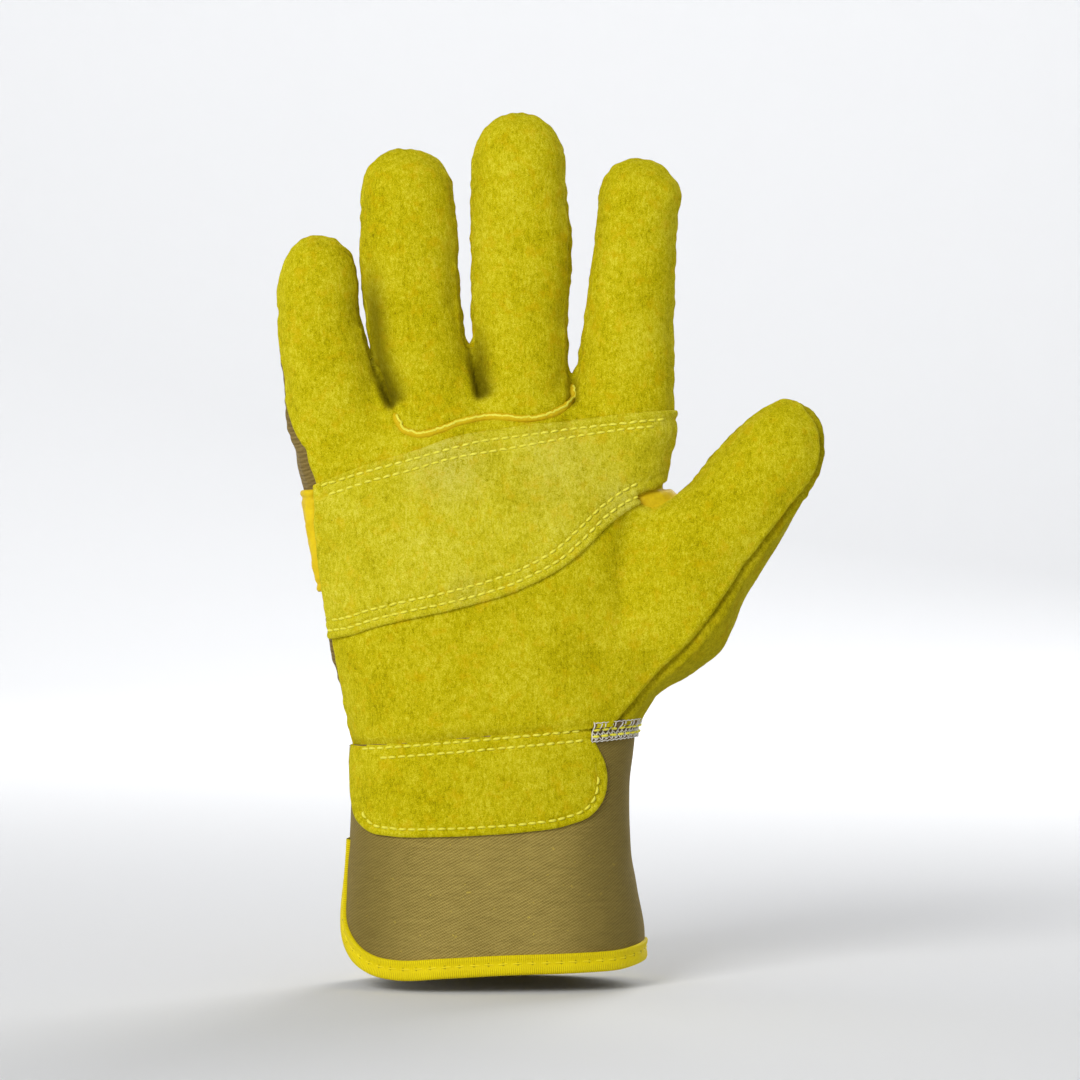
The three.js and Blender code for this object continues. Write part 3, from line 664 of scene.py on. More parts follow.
def twill(name, dark, light, pitch, rise, sides=None):
    """Cloth with diagonal ribs that rise to the right.

    sides are the left and right X towards which the cloth is darkened, painted shade where the cuff turns
    away from the light.
    """
    s = Finish(name, roughness=0.88, specular=0.15, sheen=0.12, sheen_tint=(230, 215, 180))
    at = s.attribute("cloth")
    angle = math.radians(rise)
    phase = s.dot(at, (-math.sin(angle), math.cos(angle), 0)) + (s.noise(9, 2, 0.5) - 0.5) * 0.5
    along = s.dot(at, (math.cos(angle), math.sin(angle), 0))
    rib = phase.sine(pitch)
    yarn = (along * (2 * math.pi / (pitch * 0.8)) + phase * (2.2 / pitch)).sine()
    fuzz = s.noise(0.35, 2, 0.6)
    slubs = s.noise(1.6, 2, 0.5, at=at, stretch=(0.25, 1.4, 1))
    tone = s.weighed((rib, 0.24), (yarn, 0.12), (fuzz, 0.45), (slubs, 0.3), (s.noise(20, 2, 0.5), 0.16))
    colour = s.ramp(tone, (0.15, dark), (0.85, light))
    flecks = s.noise(1.3, 1, 0.4, offset=(7, 3, 2)).span(0.735, 0.78)
    colour = s.mix(flecks * 0.5, colour, (205, 180, 70))
    # painted shade: the cloth darkens towards its sides, where the cuff turns away from the light
    if sides:
        x, (left, right) = s.dot(s.rest, (1, 0, 0)), sides
        painted_side_shade = x.combined("MAXIMUM", x.span(left + 24, left), x.span(right - 22, right))
        colour = s.mix(painted_side_shade * 0.6, colour, dark)
    return s.finish(colour, s.weighed((rib, 1.0), (yarn, 0.35), (fuzz, 0.3)), depth=0.1, strength=0.7)


def ribbed_tape(name, dark, light, holes=0):
    """Woven tape with ribs across it that show most near its two edges, and stitch holes every so many mm,
    painted dark as the shade in their dimples.
    """
    s = Finish(name, roughness=0.65, specular=0.12, sheen=0.05, sheen_tint=(255, 245, 90))
    at = s.attribute("cloth")
    along, across = s.dot(at, (1, 0, 0)), s.dot(at, (0, 1, 0))
    edges = 1.0 - abs(across - 2.6).span(1.3, 0.8) * 0.75
    ribs = (along.sine(0.62) - 0.5) * edges + 0.5
    tone = s.weighed((ribs, 0.55), (s.noise(0.5, 2, 0.6), 0.35), (s.noise(9, 2, 0.5), 0.3))
    colour = s.ramp(tone, (0.15, dark), (0.85, light))
    # painted shade: a dark spot at each stitch hole, where the thread pulls the tape into a dimple
    if holes:
        gap = along.combined("PINGPONG", along, holes / 2) + abs(across - 2.7)
        colour = s.mix(gap.span(0.9, 0.3) * 0.75, colour, (120, 96, 0))
    return s.finish(colour, ribs, depth=0.16, strength=0.8)


def thread(name, dark, light):
    s = Finish(name, roughness=0.6, specular=0.25, sheen=0.2, sheen_tint=light)
    ply = s.noise(0.28, 2, 0.6, stretch=(1, 1, 1.6))
    tone = s.weighed((ply, 0.8), (s.noise(4, 1, 0.5), 0.5))
    return s.finish(s.ramp(tone, (0.2, dark), (0.7, light)), ply, depth=0.08, strength=0.6)


def napped(name, dark, light):
    s = Finish(name, roughness=1.0, specular=0.05, sheen=0.5)
    loops = s.noise(0.9, 3, 0.7)
    tone = s.weighed((loops, 0.8), (s.noise(8, 2, 0.5), 0.5))
    return s.finish(s.ramp(tone, (0.2, dark), (0.8, light)), loops, depth=0.5, strength=0.9)


HOLES = 4.3  # from one stitch hole in the tape to the next
RUBBED = [((-14, 160), 19, 0.5), ((38, 146), 12, 0.32), ((-8.5, 120.5), 9, 0.3), ((20, 158), 26, 0.22)]
SUEDE = suede("suede", (132, 122, 0), (202, 188, 4), (234, 224, 66), (214, 174, 0))
PATCH_SUEDE = suede("patch_suede", (150, 140, 2), (208, 196, 26), (238, 230, 90), (222, 186, 12), RUBBED)
# a darker copy of the suede: painted shade on the thumb's back, which turns away from the light
THUMB_SUEDE_SHADED = suede("thumb_suede", (122, 112, 0), (176, 162, 8), (208, 194, 40), (180, 146, 0))
GOLD = smooth_leather("gold_leather", (206, 170, 4), (238, 208, 24))
WELT_LEATHER = smooth_leather("welt_leather", (196, 160, 4), (230, 202, 24))
TWILL_BACK = twill("back_twill", (84, 68, 30), (150, 128, 74), 0.95, 62)
# the cuff's twill gets painted shade towards its sides
TWILL_CUFF = twill("cuff_twill", (98, 82, 30), (188, 166, 88), 0.8, 27, sides=(-42, 36))
TAPE = ribbed_tape("yellow_tape", (208, 180, 0), (246, 228, 12), HOLES)
THREAD = thread("yellow_thread", (218, 208, 24), (248, 242, 92))
TAPE_THREAD = thread("tape_thread", (220, 196, 0), (248, 232, 30))
WHITE_THREAD = thread("white_thread", (196, 190, 178), (244, 242, 234))
BAND_BROWN = twill("band_twill", (74, 58, 30), (140, 116, 74), 0.8, 27)
FLEECE = napped("fleece", (182, 172, 146), (232, 226, 208))
ELASTIC = ribbed_tape("elastic", (196, 192, 182), (240, 238, 232))


# ---------------------------------------------------------------- joints, zones and panels


def gap_line(left, right):
    """The line that runs up the middle of the gap between two fingers, as x for each height."""
    return lambda z: (left.x(z) + left.a(z) + right.x(z) - right.a(z)) / 2


def crotch_bottom(line, y=-1.0):
    """The lowest point of the gap between two fingers."""
    heights = np.arange(176, 210, 0.1)
    probe = np.stack([line(heights), np.full(len(heights), y), heights], axis=1)
    top = heights[hand_field(probe) < 0].max()
    return np.array([line(top), 0, top])


def along_of(joint):
    """The direction that a finger or the thumb points in at a joint: square to the joint's axis and to Y."""
    x, _, z = AXES[joint]
    return np.array([-z, 0, x]) / math.hypot(x, z)


def numbered(names):
    return {name: number for number, name in enumerate(names)}


GAPS = [gap_line(left, right) for left, right in zip(FINGERS, FINGERS[1:])]
DIGITS = [finger.name for finger in FINGERS] + ["thumb"]
ZONES = numbered(["hand"] + [f"{name}_{part}" for name in DIGITS for part in ("base", "tip")])
BETWEEN = ["web", "fourchette_left", "fourchette_right"]  # one strip round each gap, without seams in it
PANELS = numbered(["palm", "middle_ring", "back", "index_back", "thumb_back", "gusset", *BETWEEN, "tip_back"])
BENDS = {}  # zone: (body below, body above, start, end)

# finger: height where its two lengths part, length of the bend
SPLITS = {"little": (207, 12), "ring": (214, 22), "middle": (218, 28), "index": (211, 26)}
THUMB_CROTCH = np.array([52.4, 0, 151.5])
SWING_DIRECTION = np.array([0.87, 0, 0.49])
SWING_START, SWING_END = 119.8, 135.2
CROTCH_PLANE = np.array([0.83, 0, -0.56])
THUMB_SPLIT, THUMB_BEND = 50, 16

LEFT_SEAM = smooth_curve(
    [60, 80, 95, 110, 125, 140, 155, 166, 174, 180, 200, 235],
    [-6.5, -7, -6.5, -6, -7.5, -8.5, -9.2, -8, -5.5, -3, -2, -2],
)
RIGHT_SEAM = -1.5
CROTCH_SEAM = 1.6
TIP_SEAM = -2.4
FOURCHETTE = 4.8  # half its width

WELT = [(-35, 186), (-30.5, 174.6), (-28.2, 170.2), (-23.8, 168.3), (-16.8, 169.6), (-9.8, 172.3)]
WELT += [(-1.3, 173.8), (12.3, 173.2), (19.3, 175.4), (23.6, 179.3), (23.8, 184.1), (22.8, 190)]
THUMB_SEAM = [(30, 60), (32, 72), (39.9, 82.6), (49.1, 93.3), (58.2, 102.5), (65.9, 111.7), (73.5, 122.4)]
THUMB_SEAM += [(79.7, 131.5), (90.4, 145.3), (97.9, 155.8), (100.4, 163.4), (99.9, 169.6), (95.4, 176.4)]
THUMB_SEAM = rounded(THUMB_SEAM + [(89, 180.5), (78, 183)], step=2.5)
THUMB_BACK_SEAM = [(40, 50), (40, 70), (38, 78), (34, 94), (34, 112), (38, 132), (44, 146)]
THUMB_BACK_SEAM += [(52.4, 151.5), (62, 168)]
GUSSET = [(43.2, 149.4), (47, 151), (51.5, 152.4), (60, 155), (53.4, 149.2), (50.8, 147.2)]
GUSSET += [(48, 146.2), (45, 147.2)]


def wrist_line(x):
    return 72.7 + 0.089 * (x + 40)


def nearest_finger(p):
    return np.stack([finger.field(p) for finger in FINGERS]).argmin(0)


def side_seams(p):
    """The depths, y, of the front's seam and the back's seam, at each point's finger and side."""
    owner = nearest_finger(p)
    front, back = np.empty(len(p)), np.empty(len(p))
    for i, finger in enumerate(FINGERS):
        mine = owner == i
        u, z, _ = finger.local(p[mine])
        right = smoothstep(-0.4, 0.4, u / finger.a(z))
        left_y = LEFT_SEAM(z) if finger.name == "little" else CROTCH_SEAM
        right_y = RIGHT_SEAM if finger.name == "index" else CROTCH_SEAM
        middle = left_y * (1 - right) + right_y * right
        taper = FOURCHETTE * smoothstep(finger.end - 8, finger.end - 34, z)
        width = taper * ((finger.name != "little") * (1 - right) + (finger.name != "index") * right)
        tip = smoothstep(finger.cap - 6, finger.end - 2, z)
        front[mine] = (middle - width) * (1 - tip) + TIP_SEAM * tip
        back[mine] = (middle + width) * (1 - tip) + TIP_SEAM * tip
    return front, back


def back_side(p):
    """Above zero behind the seam that joins the front to the back."""
    beyond_crotch = (p - THUMB_CROTCH) @ CROTCH_PLANE > 0
    thumb = (p[:, 0] > 20) & ((p[:, 2] < THUMB_CROTCH[2]) | beyond_crotch)
    beside_thumb = np.maximum(p[:, 1] - RIGHT_SEAM, right_of(p, THUMB_SEAM))
    return np.where(thumb, beside_thumb, p[:, 1] - side_seams(p)[1])


def within_seams(p):
    """Above zero between the two seams of the strips that join the fingers' fronts to their backs."""
    front, back = side_seams(p)
    return np.minimum(p[:, 1] - front, back - p[:, 1])


def cut_zones(skin):
    """Cuts the skin where one body's part of it ends and the next one's starts, and lists the bends."""
    skin.cut(lambda p: p[:, 2] - wrist_line(p[:, 0]), np.ones(len(skin.faces), bool), "zone", 1)
    skin.keep(skin.labels["zone"] == 1)
    skin.labels["zone"][:] = ZONES["hand"]
    BENDS["hand"] = ("cuff", "hand", np.array([0, 0, 58]), np.array([0, 0, 90]))

    crotches = [crotch_bottom(line) + (0, 0, 0.6) for line in GAPS]
    for i, finger in enumerate(FINGERS):
        base, tip = f"{finger.name}_base", f"{finger.name}_tip"
        along, upper = along_of(f"{finger.name}_knuckle"), along_of(f"{finger.name}_middle_joint")
        start = max(c @ along for c in crotches[max(i - 1, 0) : i + 1])
        split, bend = SPLITS[finger.name]
        turn = np.array([finger.x(split), 0, split])
        centre = skin.centres()
        mine = (nearest_finger(centre) == i) & (centre[:, 2] > 180)
        skin.cut(lambda p: p @ along - start, mine, "zone", ZONES[base])
        skin.cut(lambda p: (p - turn) @ upper, skin.has("zone", ZONES, base), "zone", ZONES[tip])
        slack = 14 * abs(np.cross(along, upper)[1]) + 0.5
        BENDS[base] = ("hand", base, turn + along * (start - turn @ along), turn - along * slack)
        BENDS[tip] = (base, tip, turn, turn + upper * bend)

    def beyond(p):
        return np.minimum(p @ SWING_DIRECTION - SWING_START, (p - THUMB_CROTCH) @ CROTCH_PLANE)

    skin.cut(beyond, skin.centres()[:, 0] > 30, "zone", ZONES["thumb_base"])
    turn = THUMB_ORIGIN + THUMB_ALONG * THUMB_SPLIT
    based = skin.has("zone", ZONES, "thumb_base")
    skin.cut(lambda p: (p - THUMB_ORIGIN) @ THUMB_ALONG - THUMB_SPLIT, based, "zone", ZONES["thumb_tip"])
    swing = SWING_DIRECTION / (SWING_DIRECTION @ SWING_DIRECTION)
    BENDS["thumb_base"] = ("hand", "thumb_base", swing * SWING_START, swing * SWING_END)
    BENDS["thumb_tip"] = ("thumb_base", "thumb_tip", turn, turn + THUMB_ALONG * THUMB_BEND)
    return crotches


def cut_panels(skin, crotches):
    """Cuts the skin along its seams."""

    def cut(side_of, where, panel):
        skin.cut(side_of, where, "panel", PANELS[panel])

    def on(*panels):
        return skin.has("panel", PANELS, *panels)

    cut(back_side, np.ones(len(skin.faces), bool), "back")
    cut(lambda p: right_of(p, THUMB_BACK_SEAM), on("back"), "thumb_back")
    index_side = skin.has("zone", ZONES, "hand", "index_base", "index_tip") & (skin.centres()[:, 0] > 20)
    cut(lambda p: np.minimum(p[:, 2] - 168, p[:, 0] - 23), index_side & on("back"), "index_back")
    outline = rounded(WELT).tolist() + [(22.6, 300), (-42, 300), (-42.6, 225), (-38.6, 195)]
    cut(lambda p: inside_distance(p[:, [0, 2]], outline), on("palm"), "middle_ring")

    for line, crotch in zip(GAPS, crotches):
        centre = skin.centres()
        near = (np.abs(centre[:, 0] - line(centre[:, 2])) < 9) & (centre[:, 2] > crotch[2] - 12)
        near &= skin.has("zone", ZONES, "hand") & on("palm", "middle_ring")
        cut(lambda p: np.minimum(within_seams(p), p[:, 2] - crotch[2] + 9), near, "web")

    for finger in FINGERS:
        for side, name in ((-1, "left"), (1, "right")):
            outward = finger.local(skin.centres())[0] * side > 0
            where = skin.has("zone", ZONES, f"{finger.name}_base", f"{finger.name}_tip") & outward
            where &= on("palm", "middle_ring")
            cut(lambda p: np.minimum(within_seams(p), finger.end - 11 - p[:, 2]), where, f"fourchette_{name}")

    tips = skin.has("zone", ZONES, "little_tip", "ring_tip", "middle_tip")
    skin.labels["panel"][on("back") & tips] = PANELS["tip_back"]
    by_thumb = skin.has("zone", ZONES, "hand", "thumb_base")
    cut(lambda p: inside_distance(p[:, [0, 2]], GUSSET), by_thumb, "gusset")


def build_skin():
    points, quads = surface_nets((-72, -32, 64), (108, 32, 272), STEP)
    points, quads = subdivide(project(points), quads)
    skin = Skin(project(points, 2), halves(quads))
    cut_panels(skin, cut_zones(skin))
    return skin


def border_distance(skin, reach, pair=None):
    """Each point's distance from the nearest edge where two panels, or the pair, meet, up to reach."""
    edges = np.sort(np.stack([skin.faces, np.roll(skin.faces, -1, axis=1)], axis=2).reshape(-1, 2), axis=1)
    strip = [PANELS[name] for name in BETWEEN]
    panel = np.repeat(np.where(np.isin(skin.labels["panel"], strip), strip[0], skin.labels["panel"]), 3)
    order = np.lexsort((edges[:, 1], edges[:, 0]))
    edges, panel = edges[order], panel[order]
    twin = (edges[1:] == edges[:-1]).all(1) & (panel[1:] != panel[:-1])
    if pair:
        wanted = [PANELS[name] for name in pair]
        twin &= np.isin(panel[1:], wanted) & np.isin(panel[:-1], wanted)
    ends = skin.points[edges[:-1][twin]]
    samples = np.vstack([ends[:, 0], ends[:, 1], ends.mean(1)])
    tree = KDTree(len(samples))
    for i, s in enumerate(samples):
        tree.insert(s, i)
    tree.balance()
    near = np.all((skin.points > samples.min(0) - reach) & (skin.points < samples.max(0) + reach), axis=1)
    distance = np.full(len(skin.points), 99.0)
    for i in np.flatnonzero(near):
        distance[i] = tree.find(skin.points[i])[2]
    return np.minimum(distance, 99.0)


# ---------------------------------------------------------------- the skin's relief, and its pieces


def creases(p):
    """Soft folds on the palm and the thumb."""
    lines = [  # a line in X and Z, depth, half width
        ([(40.5, 140), (39.5, 128), (39, 112)], 1.2, 3.2),
        ([(52, 128), (64, 130), (76, 129)], 0.6, 2.4),
        ([(8, 118), (24, 108), (34, 100)], 0.5, 4),
    ]
    folded = sum(depth * bump(line_distance(p[:, [0, 2]], line)[0] / width) for line, depth, width in lines)
    return -smoothstep(-4, -10, p[:, 1]) * folded


# folds beside the fingers' gaps: line upwards, depth, reach to the left, reach to the right
FOLDS = [
    ([(-31.2, 175.5), (-34.2, 182), (-37, 190), (-38.6, 200), (-39.6, 212), (-40.6, 226)], 7, 1.0, 4.8),
    ([(-4.4, 178), (-6.3, 186), (-7.6, 194), (-7.6, 204)], 7, 0.9, 4.2),
    ([(24.2, 176.5), (23.9, 184), (23.7, 190)], 5.4, 1.5, 1.5),
    ([(23.2, 200), (25, 216), (25.2, 232), (24.4, 246)], 3.0, 3.4, 1.2),
    ([(-13.4, 205), (-11.6, 222), (-11.4, 240)], 1.4, 2.6, 1.2),
]


def folds(p):
    """How far the palm's side is drawn back, along Y, beside the gaps."""
    back = np.zeros(len(p))
    for line, depth, left, right in FOLDS:
        line = rounded(line, step=2)
        length = lengths_along(line)[-1]
        distance, along, side = line_distance(p[:, [0, 2]], line)
        ends = smoothstep(0, 3, along) * smoothstep(length, length * 0.55, along)
        back = np.maximum(back, depth * ends * bump(distance / np.where(side > 0, right, left)))
    return back * smoothstep(0, -12, p[:, 1])


def relief(skin):
    """How far each point of the leather and cloth stands out of the smooth skin."""
    p = skin.points
    x, y, z = p.T
    seam = border_distance(skin, 6)
    pucker = 1 + 0.5 * waves(p, 3.4, 11)
    out = -0.95 * bump(seam / 0.85) + 0.4 * pucker * bump((seam - 2.6) / 1.3)
    out -= 0.7 * bump(border_distance(skin, 6, ("palm", "thumb_back")) / 1.1)
    out += creases(p)
    out -= 0.9 * smoothstep(3.5, 0.5, z - wrist_line(x)) * smoothstep(2, -8, y) * (x < 31)
    out += 0.32 * waves(p, 24, 5) + 0.13 * waves(p, 8, 6) + 0.05 * waves(p, 2.6, 7)
    gathers = smoothstep(77, 81, z) * smoothstep(101, 96, z)
    gathers *= smoothstep(4, 10, y) * smoothstep(50, 42, np.abs(x))
    wave = np.sin(x * 2 * math.pi / 4.4 + 1.3 * waves(p, 16, 21))
    return out + gathers * (0.85 * wave - 1.2)


def add_mesh(name, points, faces, material, normals=None, rest=None, cloth=None):
    """A mesh object from millimetres, with the rest place, and cloth coordinates, that its material reads."""
    mesh = bpy.data.meshes.new(name)
    mesh.vertices.add(len(points))
    mesh.vertices.foreach_set("co", (points * MM).ravel())
    mesh.loops.add(faces.size)
    mesh.loops.foreach_set("vertex_index", faces.ravel().astype(np.int32))
    mesh.polygons.add(len(faces))
    mesh.polygons.foreach_set("loop_start", np.arange(0, faces.size, 3, dtype=np.int32))
    mesh.update(calc_edges=True)
    mesh.polygons.foreach_set("use_smooth", np.ones(len(faces), bool))
    vectors = {"rest": points if rest is None else rest}
    if cloth is not None:
        vectors["cloth"] = np.column_stack([cloth, np.zeros((len(cloth), 3 - np.shape(cloth)[1]))])
    for key, values in vectors.items():
        attribute = mesh.attributes.new(key, "FLOAT_VECTOR", "POINT")
        attribute.data.foreach_set("vector", np.asarray(values, np.float32).ravel())
    if normals is not None:
        mesh.normals_split_custom_set(normals)
    mesh.materials.append(material)
    return place(name, mesh)


def attach(made, zone, slot, *nodes):
    """Lets a piece follow its zone's body, and stand for its CAD nodes; a piece whose zone is a bend only has
    its place baked into its mesh.
    """
    if zone in BENDS:
        below, above, start, end = BENDS[zone]
        tuple(start * MM)
        tuple(end * MM)
        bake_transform(made)
    else:
        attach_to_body(made, "hand" if zone == "hand_body" else zone)
    if nodes:
        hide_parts(*nodes)


def shell(outer, inner, faces, outer_normals):
    """A closed shell between two layers of points, with its border walled, and a normal for each corner."""
    used, inverse = np.unique(faces, return_inverse=True)
    faces = inverse.reshape(-1, 3)
    outer, inner, normals = outer[used], inner[used], outer_normals[used]
    n = len(used)
    edges = np.stack([faces, np.roll(faces, -1, axis=1)], axis=2).reshape(-1, 2)
    key = np.minimum(*edges.T) * n + np.maximum(*edges.T)
    _, first, count = np.unique(key, return_index=True, return_counts=True)
    a, b = edges[first[count == 1]].T
    wall = np.vstack([np.stack([b, a, a + n], axis=1), np.stack([b, a + n, b + n], axis=1)])
    points = np.vstack([outer, inner])
    a, b, c = (points[wall[:, k]] for k in range(3))
    flat = np.cross(b - a, c - a)
    flat /= np.maximum(np.linalg.norm(flat, axis=1), 1e-9)[:, None]
    sides = np.vstack([normals[faces].reshape(-1, 3), -normals[faces[:, ::-1]].reshape(-1, 3)])
    corners = np.vstack([sides, np.repeat(flat, 3, axis=0)])
    return points, np.vstack([faces, faces[:, ::-1] + n, wall]), corners, used


# panel: piece, material, slot
PIECES = {
    "palm": ("palm_leather", SUEDE, "split_leather"),
    "middle_ring": ("middle_ring_front", SUEDE, "split_leather"),
    "back": ("back_panel", TWILL_BACK, "back_twill"),
    "index_back": ("index_back", SUEDE, "split_leather"),
    "thumb_back": ("thumb_back", THUMB_SUEDE_SHADED, "split_leather"),
    "gusset": ("thumb_gusset", WELT_LEATHER, "gold_leather"),
    **{name: (name, SUEDE, "split_leather") for name in (*BETWEEN, "tip_back")},
}
IN_HAND = {
    "palm": ["palm_leather"],
    "middle_ring": ["middle_ring_front_root"],
    "back": ["back_panel"],
    "thumb_back": ["thumb_back_root"],
    "gusset": ["thumb_gusset"],
    "web": ["web_little_ring", "web_ring_middle", "web_middle_index"],
}


def stands_for(zone, panel):
    """The CAD nodes that a panel's piece in a zone replaces."""
    if zone == "hand":
        return IN_HAND.get(panel, [])
    finger, part = zone.split("_")
    if finger == "thumb":
        return {"palm": [f"thumb_front_{part}"], "thumb_back": [f"thumb_back_{part}"]}.get(panel, [])
    if panel in ("palm", "middle_ring"):
        return [f"{finger}_front_{part}"]
    if panel in ("back", "index_back", "tip_back"):
        return [f"{finger}_back_{part}"]
    return [f"{finger}_{panel}_{part}"]


def unrolled(p):
    """Mm across the back as if its cloth lay flat: X, and what the two sides fall away."""
    return p[:, 0] + 0.57 * (20 - p[:, 1]) * np.tanh((p[:, 0] + 5) / 25)


skin = build_skin()
smooth_normals = vertex_normals(skin.points, skin.faces)
final = skin.points + smooth_normals * relief(skin)[:, None]
fold = folds(skin.points)
final[:, 1] += fold
final_normals = vertex_normals(final, skin.faces)

for zone in ZONES:
    for panel, (stem, material, slot) in PIECES.items():
        chosen = skin.has("zone", ZONES, zone) & skin.has("panel", PANELS, panel)
        if not chosen.any():
            continue
        name = stem if zone == "hand" else f"{zone}_{stem}"
        inner = final - smooth_normals * LEATHER
        points, faces, corner, used = shell(final, inner, skin.faces[chosen], final_normals)
        rest = np.vstack([skin.points[used]] * 2)
        # the third cloth column is how deep in a fold a place lies, which the suede paints as shade
        cloth = np.column_stack([unrolled(rest), rest[:, 2], np.clip(np.tile(fold[used], 2) / 4.5, 0, 1)])
        made = add_mesh(name, points, faces, material, corner, rest, cloth)
        stiff = zone == "hand" and panel in ("middle_ring", "web", "gusset", "index_back")
        attach(made, "hand_body" if stiff else zone, slot, *stands_for(zone, panel))


# ---------------------------------------------------------------- pieces laid on the skin

# the columns of layers
REST, FINAL, NORMAL, SEAM, ROUND_UP = slice(0, 3), slice(3, 6), slice(6, 9), 9, slice(9, 11)


def in_box(panel, low, high):
    """The faces of a panel of the hand whose centres are inside a box."""
    centre = skin.centres()
    boxed = np.all((centre > low) & (centre < high), axis=1)
    return boxed & skin.has("panel", PANELS, panel) & skin.has("zone", ZONES, "hand")


def over_skin(panel, low, high):
    """Layers: the part of the finished skin that something is laid on, with every triangle as four."""
    seam = border_distance(skin, 8)
    layers = Skin(np.column_stack([skin.points, final, final_normals, seam]), skin.faces)
    layers.keep(in_box(panel, low, high))
    edges, which = split_edges(layers.faces)
    ab, bc, ca = (len(layers.points) + which).T
    a, b, c = layers.faces.T
    faces = np.vstack([np.stack(t, axis=1) for t in ((a, ab, ca), (ab, b, bc), (ca, bc, c), (ab, bc, ca))])
    return Skin(np.vstack([layers.points, layers.points[edges].mean(1)]), faces)


def thickness(edge, thick, soft):
    """A cut edge that is half the thickness high, rounding up to the whole of it."""
    return thick * (0.55 + 0.45 * np.sqrt(1 - (1 - np.clip(edge / soft, 0, 1)) ** 2))


def groove(p, rows):
    """Where rows of stitches pull the leather in."""
    return -0.5 * sum(bump(line_distance(p[:, [0, 2]], row)[0] / 0.8) for row in rows)


def laid_on(name, layers, edge_of, lifts_of, thick, material, slot, zone, soft=1.1, snap=0.04, cloth=None):
    """Cuts a piece out of the layers where edge_of is above zero, gives it its thickness and lays it on them.

    lifts_of gives how far its underside and its top are lifted, beyond the thickness. cloth is the columns of
    the cloth coordinates. Returns the top's points and faces.
    """
    layers.cut(edge_of, np.ones(len(layers.faces), bool), "panel", 1, snap)
    layers.keep(layers.labels["panel"] == 1)
    p, faces = layers.points, layers.faces
    under, over = lifts_of(p)
    over = over + thickness(np.maximum(edge_of(p), 0), thick, soft)
    normals = unit(p[:, NORMAL])
    top = p[:, FINAL] + normals * over[:, None]
    bottom = p[:, FINAL] + normals * under[:, None]
    points, both, corner, used = shell(top, bottom, faces, vertex_normals(top, faces))
    twice = np.vstack([p[used]] * 2)
    cloth = twice[:, cloth] if cloth else None
    attach(add_mesh(name, points, both, material, corner, twice[:, REST], cloth), zone, slot, name)
    return top, faces


def on_skin(name, layers, edge_of, rows, thick, material, slot):
    def lifts(p):
        uneven = 0.05 * waves(p[:, REST], 1.9, 31) + 0.1 * waves(p[:, REST], 6, 32)
        return np.full(len(p), 0.03), groove(p, rows) + uneven

    return laid_on(name, layers, edge_of, lifts, thick, material, slot, "hand_body")


def beside(line, offset):
    """A curve offset mm to the left of a smooth 2-D line."""
    line = rounded(line)
    return line + offset * to_left(line)


PATCH_TOP = [(-62, 150.4), (-54.7, 153.1), (-40.1, 158.6), (-26.2, 162.5), (-12.2, 167.4), (1.7, 169.8)]
PATCH_TOP += [(22.4, 172.2), (41.2, 174.7), (62, 176.6)]
PATCH_BOTTOM = [(-62, 105.6), (-50, 106), (-44.7, 106.8), (-36.6, 109.4), (-26, 112), (-12.1, 115)]
PATCH_BOTTOM += [(8.4, 121.3), (22.3, 128.9), (29.3, 135.2), (36.2, 142), (41.3, 145.5), (45.3, 147.3)]
PATCH_ROW_1 = [(-53, 152.7), (-38, 157.1), (-26.2, 160.2), (-15.8, 163.1), (-5.2, 165.8), (8.4, 167.7)]
PATCH_ROW_1 += [(22.3, 169.6), (54.6, 173.4)]
PATCH_ROW_2 = [(-50.5, 149.9), (-38, 153.9), (-26.2, 157), (-12.2, 161), (1.7, 163.4), (15.4, 165.9)]
PATCH_ROW_2 += [(41.1, 170), (52, 171.2)]
PATCH_ROWS = [
    rounded(PATCH_ROW_1),
    rounded(PATCH_ROW_2),
    np.vstack([beside(PATCH_BOTTOM, 2.5)[10:-4], [(43.5, 149.4), (46.5, 151.4)]]),
    np.vstack([beside(PATCH_BOTTOM, 5.6)[13:-8], [(38.5, 150.6), (43, 153.1), (48, 154.4)]]),
]
PATCH_RIGHT = [(62, 154.5), (52.5, 154.5), (46.8, 151.2)]
PATCH_OUTLINE = np.vstack([rounded(PATCH_TOP), PATCH_RIGHT, rounded(PATCH_BOTTOM)[::-1]])
STRAP_LOW, STRAP_HIGH = 120.5, 151.5
STRAP_ROWS = [[(-70, z), (60, z)] for z in (STRAP_LOW + 2.4, STRAP_HIGH - 2.4)]


def patch_edge(p):
    return np.minimum(inside_distance(p[:, [0, 2]], PATCH_OUTLINE), p[:, SEAM] - 0.55)


def strap_edge(p):
    return np.minimum(np.minimum(p[:, 2] - STRAP_LOW, STRAP_HIGH - p[:, 2]), p[:, SEAM] - 0.3)


patch = over_skin("palm", (-65, -40, 100), (60, -0.5, 182))
patch_top = on_skin("palm_patch", patch, patch_edge, PATCH_ROWS, PATCH_THICK, PATCH_SUEDE, "split_leather")
strap = over_skin("back", (-70, -14, 115), (60, 40, 156))
strap_top = on_skin("knuckle_strap", strap, strap_edge, STRAP_ROWS, STRAP_THICK, GOLD, "gold_leather")


# ---------------------------------------------------------------- the cuff


